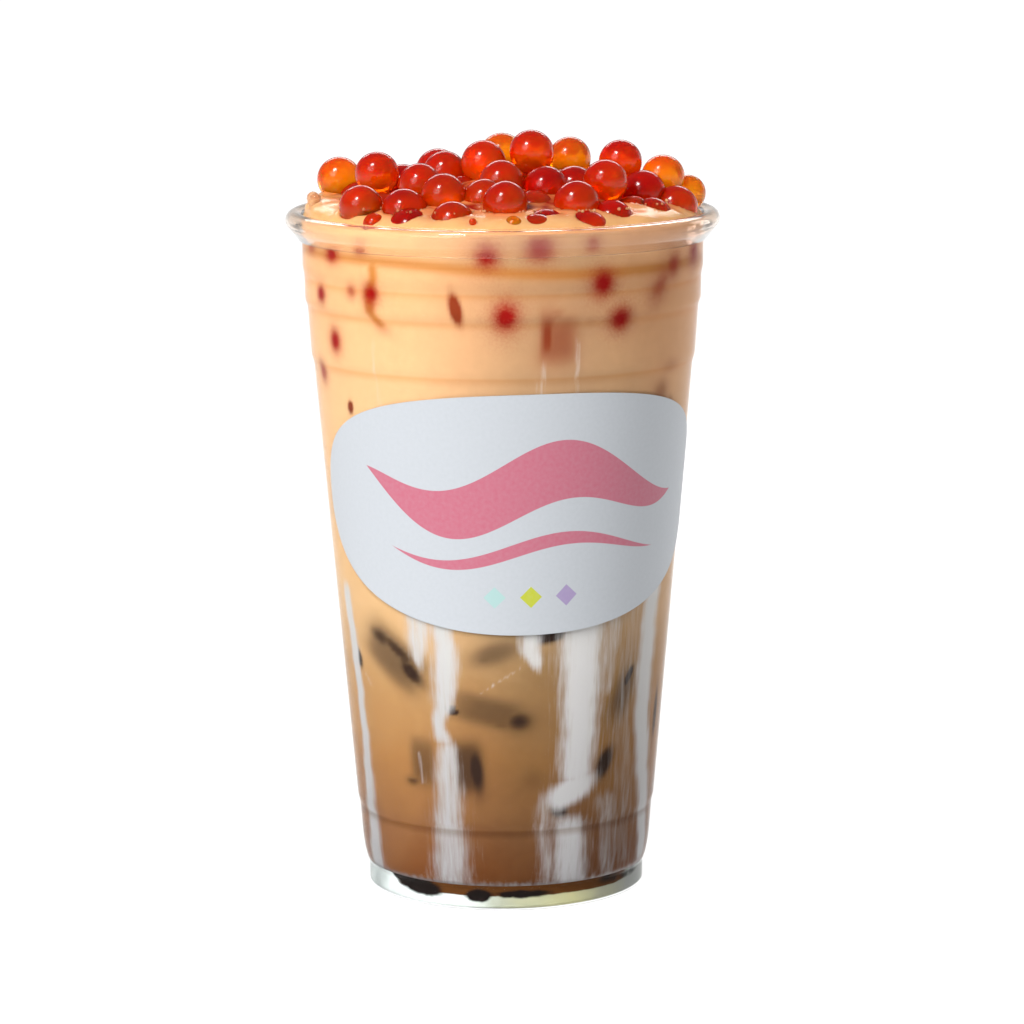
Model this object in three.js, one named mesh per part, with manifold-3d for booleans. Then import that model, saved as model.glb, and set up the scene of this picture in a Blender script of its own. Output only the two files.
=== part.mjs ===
// Bubble tea in a clear cold-drink cup: a tapered cup with a rolled rim, a pool of milk in its foot,
// milk tea up to a domed top, a heap of popping pearls on the tea and a paper label round the front.
// Millimetres, +Z up. The origin is the centre of the foot's underside, and the front faces -Y.
import * as THREE from 'three';
import { mergeVertices } from 'three/addons/utils/BufferGeometryUtils.js';
import Module from 'manifold-3d';

const wasm = await Module();
wasm.setup();

// Driving dimensions of the cup
const RIM_DIAMETER = 98;
const CUP_HEIGHT = 155;
const FOOT_DIAMETER = 63;
const WALL = 0.6;
const SIDES = 32;
const CURVE_STEPS = 3;

// Clearance between pieces that touch
const GAP = 0.3;

// Foot: a flat ring to stand on, round a pushed-up middle
const FOOT = {
  radius: FOOT_DIAMETER / 2,
  height: 5,
  corner: 1.2,
  ringInside: 27.5,
  pushUpRadius: 23.5,
  pushUpHeight: 2.6,
};

// Wall bands from the shoulder to the collar, each a straight taper. Short steps join them.
const BANDS = {
  shoulder: { low: [33.05, 12], high: [33.6, 18.9] },
  body: { low: [34.05, 20.6], high: [42.85, 120.4] },
  firstStep: { low: [43.45, 122.6], high: [44.2, 133.6] },
  secondStep: { low: [44.77, 135.1], high: [44.85, 140.4] },
  collar: { low: [45.25, 142.4], high: [45.3, 150] },
};
const SHOULDER_PULL = [32.5, 6.4];

// Rolled rim: the wall turns over a bead and comes back down as a short skirt
const BEAD_INSIDE = (RIM_DIAMETER / 2 - WALL - BANDS.collar.high[0]) / 2;
const BEAD_CENTRE = [BANDS.collar.high[0] + BEAD_INSIDE, CUP_HEIGHT - WALL - BEAD_INSIDE];
const BEAD_END_ANGLE = -Math.PI / 7;
const SKIRT_END = [BANDS.collar.high[0] + 0.35, 148.9];

// Drink: white milk up to the ledge over the foot, then tea up to a dome
const MILK_TOP = 5.5;
const TEA_EDGE_TOP = 153.6;
const DOME_SHOULDER = [33, 157.6];
const DOME_PULL = [42.6, 157.3];
const DOME_TOP = 158;

// Heap: a low core with pearls fused on, the filling ones a little smaller
const PEARL_RADIUS = 5;
const PEARL_DETAIL = 1;
const SMALL_PEARL_RADIUS = 4.1;
const FILLING_PEARL_RADIUS = 4.7;
const CORE_RADIUS = 37;
const CORE_EDGE = 0.2;
const CORE_CROWN = 6;
const CORE_STEPS = 4;
const CUTTER_FLOOR = 140;

// Pearls that show from the front, row by row towards the back: [x, z] of each centre
const SHOWN_ROWS = [
  { y: -35, pearls: [[-10.8, 155], [9.5, 153.2]] },
  { y: -33, pearls: [[-20.2, 153.3], [0.6, 159.1]] },
  { y: -28, pearls: [[-21.4, 157.1], [16.2, 158.7], [23.9, 154.6]] },
  { y: -24, pearls: [[-31, 157.6], [-12.9, 160], [-4, 158.9], [6.8, 156.2]] },
  { y: -17, pearls: [[-18.2, 161.7], [-0.2, 162.3], [9.6, 160.9], [22.8, 162.4]] },
  { y: -8, pearls: [[-28, 163.6], [16, 160.2], [31.4, 159.2], [38.6, 155.8]] },
  { y: -5, pearls: [[-4.2, 165.6], [6.6, 168]] },
  { y: 1, pearls: [[-22.4, 159.9], [-13, 162.9], [26.6, 165.3], [36.2, 161.9]] },
  { y: 8, pearls: [[-37, 161], [-14.6, 162.8], [0, 166.4], [15.2, 165.4]] },
];
const SMALL_PEARLS = [[42, 5.4, 157.7]];

// Other pearls, on a sunflower spiral over the mound wherever there is room for one, layer under
// layer: the proud ones behind the rows above, then those sunk in the hollows further forward too
const LAYER_COUNT = 6;
const LAYER_STEP = 1.5;
const LAYER_REACH = 38.5;
const PROUD_FRONT = 0;
const SUNK_FRONT = -26;
const SUNK_DEPTH = 4;
const SPIRAL_PLACES = 300;
const GOLDEN_ANGLE = Math.PI * (3 - Math.sqrt(5));
const PEARL_SPACING = 8.6;
const MOUND_EDGE = 155.5;
const MOUND_RISE = 7.5;
const MOUND_REACH = 42;
const MOUND_POWER = 3;
const MOUND_BACK_SLOPE = 0.19;
const MOUND_FLOOR = 157;

// Label: a full oval rolled on to the tapered body, its middle a little to the right of the front
const LABEL = {
  width: 114,
  height: 54.3,
  fullness: 2.2,
  thickness: 0.2,
  middle: 91.4,
  turn: THREE.MathUtils.degToRad(8.4),
  tilt: THREE.MathUtils.degToRad(0.56),
  columns: 40,
  clearance: 0.2,
};

const COLOURS = {
  cup: { color: 0xf2f4f5, roughness: 0.08, metalness: 0 },
  milk_base: { color: 0xeeeade, roughness: 0.35, metalness: 0 },
  milk_tea: { color: 0xd9a878, roughness: 0.3, metalness: 0 },
  pearl_heap: { color: 0xc8230a, roughness: 0.12, metalness: 0 },
  label: { color: 0xdfe4ea, roughness: 0.55, metalness: 0 },
};

/** The underside and outer face of the cup's sheet, from the axis out, up, over the rim and down. */
function sheetSkin() {
  const skin = new THREE.Path();
  skin.moveTo(0, FOOT.pushUpHeight);
  skin.lineTo(FOOT.pushUpRadius, FOOT.pushUpHeight);
  skin.lineTo(FOOT.ringInside, 0);
  skin.lineTo(FOOT.radius - FOOT.corner, 0);
  skin.quadraticCurveTo(FOOT.radius, 0, FOOT.radius, FOOT.corner);
  skin.lineTo(FOOT.radius, FOOT.height);
  skin.quadraticCurveTo(...SHOULDER_PULL, ...BANDS.shoulder.low);
  for (const band of Object.values(BANDS)) {
    skin.lineTo(...band.low);
    skin.lineTo(...band.high);
  }
  skin.absarc(...BEAD_CENTRE, BEAD_INSIDE, Math.PI, BEAD_END_ANGLE, true);
  skin.lineTo(...SKIRT_END);
  return withoutRepeats(skin.getPoints(CURVE_STEPS));
}

/** The points without any that sit on the one before. */
function withoutRepeats(points) {
  return points.filter((p, i) => i === 0 || p.distanceTo(points[i - 1]) > 1e-6);
}

/** A profile moved sideways, to its left as it runs, by the distance, with mitred corners. */
function inset(points, distance) {
  const normals = points.slice(1).map((p, i) => {
    const along = p.clone().sub(points[i]).normalize();
    return new THREE.Vector2(-along.y, along.x);
  });
  return points.map((p, i) => {
    const before = normals[Math.max(i - 1, 0)];
    const after = normals[Math.min(i, normals.length - 1)];
    const mitre = before.clone().add(after).normalize();
    return p.clone().addScaledVector(mitre, distance / mitre.dot(after));
  });
}

/** The stretch of a rising wall profile between two heights, with an end point at each. */
function between(points, low, high) {
  const cut = (z) => {
    const i = points.findIndex((p, n) => n > 0 && points[n - 1].y <= z && p.y > z);
    const share = (z - points[i - 1].y) / (points[i].y - points[i - 1].y);
    return points[i - 1].clone().lerp(points[i], share);
  };
  return [cut(low), ...points.filter((p) => p.y > low && p.y < high), cut(high)];
}

/** A closed solid turned about Z from a profile of (radius, height), counted anticlockwise. */
function turned(profile) {
  const geometry = new THREE.LatheGeometry(profile, SIDES);
  geometry.rotateX(Math.PI / 2);
  return welded(geometry);
}

/** The geometry with shared vertices merged and faces of no area dropped. */
function welded(geometry) {
  const bare = new THREE.BufferGeometry();
  bare.setAttribute('position', geometry.getAttribute('position'));
  bare.setIndex(geometry.getIndex());
  const merged = mergeVertices(bare, 1e-4);
  const kept = [];
  const corners = merged.getIndex().array;
  for (let i = 0; i < corners.length; i += 3) {
    const [a, b, c] = corners.slice(i, i + 3);
    if (a !== b && b !== c && c !== a) {
      kept.push(a, b, c);
    }
  }
  merged.setIndex(kept);
  return merged;
}

/** A welded geometry as a solid that can be joined and cut. */
function asSolid(geometry) {
  const mesh = new wasm.Mesh({
    numProp: 3,
    vertProperties: new Float32Array(geometry.getAttribute('position').array),
    triVerts: new Uint32Array(geometry.getIndex().array),
  });
  return new wasm.Manifold(mesh);
}

/** A joined or cut solid as a geometry. */
function asGeometry(solid) {
  const mesh = solid.getMesh();
  const geometry = new THREE.BufferGeometry();
  geometry.setAttribute('position', new THREE.BufferAttribute(mesh.vertProperties, mesh.numProp));
  geometry.setIndex(new THREE.BufferAttribute(mesh.triVerts, 1));
  return geometry;
}

/** The cup's sheet: its skin and the same line one wall further in. */
function cupGeometry(skin) {
  const inside = inset(skin, WALL);
  inside[0].x = 0;
  return turned([...skin, ...inside.reverse()]);
}

/** The line that the drink reaches on the inside of the cup, clear of the wall. */
function drinkLine(skin) {
  const line = inset(skin, WALL + GAP);
  line[0].x = 0;
  return line;
}

/** The part of the drink line that rises from the foot to the rim. */
function risingWall(line) {
  const lowest = line.reduce((best, p, i) => (p.y < line[best].y - 1e-6 ? i : best), 0);
  const highest = line.findIndex((p, i) => i > lowest && p.y > TEA_EDGE_TOP);
  return line.slice(lowest, highest + 1);
}

/** White milk in the foot, up to the ledge. */
function milkGeometry(line) {
  const wall = risingWall(line);
  const floor = line.slice(0, line.indexOf(wall[0]) + 1);
  const side = between(wall, wall[0].y, MILK_TOP).slice(1);
  return turned([...floor, ...side, new THREE.Vector2(0, MILK_TOP)]);
}

/** The domed top of the tea from the wall to the axis, raised by the lift. */
function domeLine(edgeRadius, lift) {
  const dome = new THREE.Path();
  dome.moveTo(edgeRadius, TEA_EDGE_TOP + lift);
  dome.quadraticCurveTo(DOME_PULL[0], DOME_PULL[1] + lift, DOME_SHOULDER[0], DOME_SHOULDER[1] + lift);
  dome.lineTo(0, DOME_TOP + lift);
  return dome.getPoints(CURVE_STEPS + 1);
}

/** Tea from the milk up to its dome. */
function teaGeometry(line) {
  const floor = MILK_TOP + GAP;
  const side = between(risingWall(line), floor, TEA_EDGE_TOP);
  const edge = side[side.length - 1];
  return turned([new THREE.Vector2(0, floor), ...side.slice(0, -1), ...domeLine(edge.x, 0)]);
}

/** Everything that the heap has to stay clear of: the tea's dome and the rim. */
function heapCutter(edgeRadius) {
  const outside = RIM_DIAMETER / 2 + WALL;
  const aboveRim = CUP_HEIGHT + GAP;
  return turned([
    new THREE.Vector2(0, CUTTER_FLOOR),
    new THREE.Vector2(outside, CUTTER_FLOOR),
    new THREE.Vector2(outside, aboveRim),
    new THREE.Vector2(edgeRadius, aboveRim),
    ...domeLine(edgeRadius, GAP),
  ]);
}

/** The heap's core: a low mound on the dome, with its middle raised and its back sloping down. */
function coreGeometry() {
  const top = [];
  for (let i = 0; i <= CORE_STEPS; i += 1) {
    const radius = CORE_RADIUS * (1 - i / CORE_STEPS);
    const crown = CORE_CROWN * (1 - (radius / CORE_RADIUS) ** 2);
    top.push(new THREE.Vector2(radius, DOME_TOP + CORE_EDGE + crown));
  }
  const floor = DOME_TOP - CORE_CROWN;
  const core = turned([new THREE.Vector2(0, floor), new THREE.Vector2(CORE_RADIUS, floor), ...top]);
  const points = core.getAttribute('position');
  for (let i = 0; i < points.count; i += 1) {
    const lowest = Math.min(points.getZ(i), DOME_TOP + CORE_EDGE);
    points.setZ(i, Math.max(points.getZ(i) - backDrop(points.getY(i)), lowest));
  }
  return core;
}

/** The centre height of a pearl that lies on the mound, which slopes down towards the back. */
function moundHeight(radius, y) {
  const crown = MOUND_RISE * (1 - (radius / MOUND_REACH) ** MOUND_POWER);
  return Math.max(MOUND_EDGE + crown - backDrop(y), MOUND_FLOOR);
}

/** How far the mound falls at a distance behind the middle. */
function backDrop(y) {
  return MOUND_BACK_SLOPE * Math.max(y, 0);
}

/** Places for pearls on a sunflower spiral over the mound, sunk into it by a depth. */
function spiralCentres(sunk) {
  return Array.from({ length: SPIRAL_PLACES }, (_, i) => {
    const radius = (LAYER_REACH - sunk) * Math.sqrt((i + 0.5) / SPIRAL_PLACES);
    const [x, y] = [radius * Math.cos(i * GOLDEN_ANGLE), radius * Math.sin(i * GOLDEN_ANGLE)];
    return new THREE.Vector3(x, y, moundHeight(radius, y) - sunk);
  });
}

/** Every pearl of the heap, as its centre and radius. */
function pearlPlaces() {
  const places = SHOWN_ROWS.flatMap(({ y, pearls }) =>
    pearls.map(([x, z]) => ({ centre: new THREE.Vector3(x, y, z), radius: PEARL_RADIUS })),
  );
  for (const place of SMALL_PEARLS) {
    places.push({ centre: new THREE.Vector3(...place), radius: SMALL_PEARL_RADIUS });
  }
  for (let layer = 0; layer < LAYER_COUNT; layer += 1) {
    const sunk = layer * LAYER_STEP;
    const front = sunk > SUNK_DEPTH ? SUNK_FRONT : PROUD_FRONT;
    for (const centre of spiralCentres(sunk)) {
      const roomy = places.every((p) => p.centre.distanceTo(centre) > PEARL_SPACING);
      if (roomy && centre.y > front) {
        places.push({ centre, radius: FILLING_PEARL_RADIUS });
      }
    }
  }
  return places;
}

/** The heap of pearls: the core with each pearl fused on, trimmed clear of the tea and the rim. */
function heapGeometry(edgeRadius) {
  let heap = asSolid(coreGeometry());
  pearlPlaces().forEach(({ centre, radius }, i) => {
    const pearl = new THREE.IcosahedronGeometry(radius, PEARL_DETAIL);
    pearl.rotateZ(i * GOLDEN_ANGLE);
    pearl.translate(...centre);
    heap = heap.add(asSolid(welded(pearl)));
  });
  return asGeometry(heap.subtract(asSolid(heapCutter(edgeRadius))));
}

/** Outer radius of the cup's tapered body at a height. */
function bodyRadius(z) {
  const { low, high } = BANDS.body;
  return low[0] + ((high[0] - low[0]) * (z - low[1])) / (high[1] - low[1]);
}

/** The label: a flat slab drawn into an oval, tilted, then rolled on to the cone of the body. */
function labelGeometry() {
  const slab = new THREE.BoxGeometry(Math.PI, LABEL.height, LABEL.thickness, LABEL.columns);
  const points = slab.getAttribute('position');
  const { low, high } = BANDS.body;
  const taper = Math.atan2(high[0] - low[0], high[1] - low[1]);
  const fromApex = bodyRadius(LABEL.middle) / Math.sin(taper);
  const middle = new THREE.Vector2();
  for (let i = 0; i < points.count; i += 1) {
    const [along, open] = [Math.sin(points.getX(i)), Math.max(Math.cos(points.getX(i)), 0)];
    const across = (LABEL.width / 2) * Math.sign(along) * Math.abs(along) ** (2 / LABEL.fullness);
    const up = points.getY(i) * open ** (2 / LABEL.fullness);
    const flat = new THREE.Vector2(across, up).rotateAround(middle, LABEL.tilt);
    const angle = LABEL.turn + Math.atan2(flat.x, fromApex + flat.y) / Math.sin(taper);
    const z = LABEL.middle + (Math.hypot(flat.x, fromApex + flat.y) - fromApex) * Math.cos(taper);
    const off = LABEL.clearance + LABEL.thickness / 2 + points.getZ(i);
    const radius = bodyRadius(z) + off;
    points.setXYZ(i, radius * Math.sin(angle), -radius * Math.cos(angle), z);
  }
  return welded(slab);
}

/** A named mesh of the piece in its own colour. */
function piece(name, geometry) {
  const mesh = new THREE.Mesh(geometry, new THREE.MeshStandardMaterial(COLOURS[name]));
  mesh.name = name;
  return mesh;
}

const skin = sheetSkin();
const drink = drinkLine(skin);
const teaEdgeRadius = between(risingWall(drink), MILK_TOP, TEA_EDGE_TOP).at(-1).x;

const bubbleTea = new THREE.Group();
bubbleTea.name = 'bubble_tea';
bubbleTea.add(
  piece('cup', cupGeometry(skin)),
  piece('milk_base', milkGeometry(drink)),
  piece('milk_tea', teaGeometry(drink)),
  piece('pearl_heap', heapGeometry(teaEdgeRadius)),
  piece('label', labelGeometry()),
);

export default bubbleTea;
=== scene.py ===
"""Bubble tea in a clear cold-drink cup: its looks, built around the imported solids.

The scene is in metres and the size fields are in millimetres. +Z is up and the front faces -Y.
"""

import logging
import math
from collections.abc import Iterable, Sequence
from dataclasses import dataclass, field
from enum import Enum

import bmesh
import bpy
import numpy as np
from mathutils import Matrix, Vector


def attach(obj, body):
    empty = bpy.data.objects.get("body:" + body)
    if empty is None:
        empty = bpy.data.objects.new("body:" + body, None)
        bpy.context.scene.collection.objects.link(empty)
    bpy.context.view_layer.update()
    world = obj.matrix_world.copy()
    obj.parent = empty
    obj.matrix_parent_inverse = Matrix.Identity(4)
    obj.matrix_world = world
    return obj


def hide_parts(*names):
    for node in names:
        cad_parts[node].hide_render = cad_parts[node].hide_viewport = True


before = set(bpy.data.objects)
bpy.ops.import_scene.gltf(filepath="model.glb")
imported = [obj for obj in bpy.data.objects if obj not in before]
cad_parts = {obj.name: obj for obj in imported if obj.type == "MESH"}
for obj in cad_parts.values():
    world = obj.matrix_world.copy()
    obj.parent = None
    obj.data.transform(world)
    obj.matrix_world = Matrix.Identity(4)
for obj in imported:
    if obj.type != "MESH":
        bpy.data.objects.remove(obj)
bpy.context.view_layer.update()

LOG = logging.getLogger("bubble_tea")
MM = 0.001
BODY = "root"
SEED = 24
GOLDEN_ANGLE = math.pi * (3 - math.sqrt(5))
# How often a spun wedge is doubled until it goes all the way round
DOUBLINGS = 4
# Points of a mesh that are closer than this are one, in millimetres
WELD = 0.001
# How much of a side a rounded corner takes up at most
CORNER_SHARE = 0.45
# Input and output numbers of the Mix node when it mixes colours
MIX_A, MIX_B, MIX_RESULT = 6, 7, 2

Point = tuple[float, float]
Place = tuple[float, float, float]
Ball = tuple[float, float, float, float]
Stops = tuple[tuple[float, str], ...]
Socket = bpy.types.NodeSocket


class Slot(Enum):
    """Finish slots of the record."""

    CLEAR_PET = "clear_pet"
    MILK = "milk"
    MILK_TEA = "milk_tea"
    PEARLS = "pearls"
    LABEL_PAPER = "label_paper"


class Node(Enum):
    """Solids that the pieces stand for."""

    CUP = "cup"
    MILK_BASE = "milk_base"
    MILK_TEA = "milk_tea"
    PEARL_HEAP = "pearl_heap"
    LABEL = "label"


class StainAndLight(Enum):
    """Attributes that tint a piece with stains and with painted light and shade, each a share at every
    point of it.
    """

    # Milk run down the wall, and the painted highlight along the ledge above the foot
    MILK = "milk_streak"
    BERRY = "berry"
    JELLY = "jelly"
    # Amber of juice and of brown tea, and the painted shadow under the rim
    AMBER_AND_SHADOW = "amber"
    # Juice on the cream, with the painted red glow of light through the pearls round their waterlines
    JUICE_AND_GLOW = "juice"
    # Each pearl's tone, with painted glow and painted shade in it
    BLUSH_AND_LIGHT = "blush"


# Colour and node helpers


def linear(hex_colour: str) -> tuple[float, ...]:
    """Turns an sRGB hex colour to linear.

    Args:
        hex_colour: The colour as #RRGGBB.

    Returns:
        Linear red, green, blue and an alpha of 1.
    """
    shares = [int(hex_colour[i : i + 2], 16) / 255 for i in (1, 3, 5)]
    return (*(c / 12.92 if c <= 0.04045 else ((c + 0.055) / 1.055) ** 2.4 for c in shares), 1.0)


def per_mm(size: float) -> float:
    """Texture scale of a pattern whose features are the size in millimetres."""
    return 1 / (size * MM)


def add_node(tree: bpy.types.NodeTree, kind: str, settings: dict) -> bpy.types.Node:
    """Adds a node with its settings and links.

    Args:
        tree: The node tree.
        kind: The node's type name after ShaderNode.
        settings: Values, hex colours or sockets to link, by property name or by input name or number.
            "stops" fills a colour ramp.

    Returns:
        The new node.
    """
    node = tree.nodes.new("ShaderNode" + kind)
    for key, value in settings.items():
        if key == "stops":
            ramp = node.color_ramp.elements
            while len(ramp) < len(value):
                ramp.new(1.0)
            for element, (position, colour) in zip(ramp, value):
                element.position = position
                element.color = linear(colour)
        elif isinstance(value, Socket):
            tree.links.new(value, node.inputs[key])
        elif isinstance(key, str) and hasattr(node, key):
            setattr(node, key, value)
        else:
            node.inputs[key].default_value = linear(value) if isinstance(value, str) else value
    return node


class Shader:
    """A material as it is wired. Each method adds a node and gives the socket that comes out of it."""

    def __init__(self, name: str) -> None:
        """Starts an empty material.

        Args:
            name: The material's name.
        """
        self.material = bpy.data.materials.new(name)
        self.material.use_nodes = True
        self.tree = self.material.node_tree
        self.tree.nodes.clear()

    def add(self, kind: str, settings: dict | None = None, output: str | int = 0) -> Socket:
        """Adds a node and gives one of its outputs."""
        return add_node(self.tree, kind, settings or {}).outputs[output]

    def object_place(self) -> Socket:
        """Each point's place on the object, in metres."""
        return self.add("TexCoord", output="Object")

    def axis(self, place: Socket, name: str) -> Socket:
        """One coordinate of a place."""
        return self.add("SeparateXYZ", {0: place}, name)

    def noise(self, place: Socket, scale: float, detail: float = 2.0, **more: float) -> Socket:
        """Soft noise from 0 to 1."""
        return self.add("TexNoise", {"Vector": place, "Scale": scale, "Detail": detail, **more}, "Fac")

    def calc(self, operation: str, *values: Socket | float, clamp: bool = False) -> Socket:
        """Arithmetic on sockets and numbers."""
        return self.add("Math", {"operation": operation, "use_clamp": clamp, **dict(enumerate(values))})

    def span(
        self, value: Socket, low: float, high: float, to: Point = (0.0, 1.0), smooth: bool = False
    ) -> Socket:
        """Maps a range of values on to another and holds them there."""
        ends = {"From Min": low, "From Max": high, "To Min": to[0], "To Max": to[1], "Value": value}
        return self.add("MapRange", {"interpolation_type": "SMOOTHSTEP" if smooth else "LINEAR", **ends})

    def ramp(self, share: Socket, stops: Sequence[tuple[float, str]]) -> Socket:
        """A colour from a row of stops."""
        return self.add("ValToRGB", {"stops": stops, "Fac": share})

    def mix(
        self, share: Socket | float, first: Socket | str, second: Socket | str, blend: str = "MIX"
    ) -> Socket:
        """Lays a share of the second colour over the first."""
        inputs = {0: share, MIX_A: first, MIX_B: second}
        return self.add("Mix", {"data_type": "RGBA", "blend_type": blend, **inputs}, MIX_RESULT)

    def shaded(self, colour: Socket, tone: Socket) -> Socket:
        """A colour multiplied by a tone."""
        return self.mix(1.0, colour, tone, "MULTIPLY")

    def valued(self, colour: Socket | str, fac: Socket, reach: float) -> Socket:
        """A colour made lighter and darker by noise, up to a share of its value."""
        value = self.span(fac, 0, 1, (1 - reach, 1 + reach))
        return self.add("HueSaturation", {"Color": colour, "Value": value})

    def share(self, stain: StainAndLight) -> Socket:
        """A stain's share at each point."""
        return self.add("Attribute", {"attribute_name": stain.value}, "Fac")

    def bump(self, height: Socket, depth_mm: float, strength: Socket | float) -> Socket:
        """A normal that noise tips about."""
        return self.add("Bump", {"Height": height, "Distance": depth_mm * MM, "Strength": strength})

    def principled(self, **settings: Socket | float | str | tuple) -> Socket:
        """A surface, whose inputs are named with _ for each space."""
        inputs = {key.replace("_", " "): value for key, value in settings.items()}
        return self.add("BsdfPrincipled", inputs)

    def finish(self, surface: Socket) -> bpy.types.Material:
        """Sends the surface to the output and gives the material."""
        add_node(self.tree, "OutputMaterial", {"Surface": surface})
        return self.material


# Finishes


@dataclass(frozen=True)
class ClearPet:
    """PET sheet, thermoformed: clear and glossy, with a slow ripple where the sheet was drawn."""

    name: str = "clear_pet_wall"
    tint: str = "#F9FBFC"
    shade: str = "#EEF1F3"
    ior: float = 1.1
    roughness: float = 0.03
    clear_share: float = 1.0
    gloss: float = 0.0
    glint: str = "#101010"
    ripple_mm: float = 11
    ripple_depth_mm: float = 0.02
    ripple_strength: float = 0.6

    def material(self) -> bpy.types.Material:
        """Makes the clear sheet, which lets the lamps through to what it holds.

        Returns:
            The material.
        """
        shader = Shader(self.name)
        ripple = shader.noise(shader.object_place(), per_mm(self.ripple_mm))
        sheet = shader.principled(
            Base_Color=self.tint,
            Roughness=self.roughness,
            IOR=self.ior,
            Transmission_Weight=self.clear_share,
            Specular_Tint=self.glint,
            Coat_Weight=self.gloss,
            Coat_Roughness=self.roughness,
            Normal=shader.bump(ripple, self.ripple_depth_mm, self.ripple_strength),
        )
        passing = shader.add("BsdfTransparent", {"Color": self.shade})
        shadow = shader.add("LightPath", output="Is Shadow Ray")
        return shader.finish(shader.add("MixShader", {0: shadow, 1: sheet, 2: passing}))


# The roll of the rim has a painted warm tint of the drink seen through it
RIM_PET = ClearPet("clear_pet_rim", "#FBEEE2", ior=1.15, clear_share=0.97, gloss=0.25, glint="#FFFFFF")


@dataclass(frozen=True)
class Layer:
    """How a stain lies on the tea: how far noise frays it, and the shares where it starts and is full."""

    stain: StainAndLight
    colour: Socket | str
    noise: Socket
    fray: float
    start: float
    full: float


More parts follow.
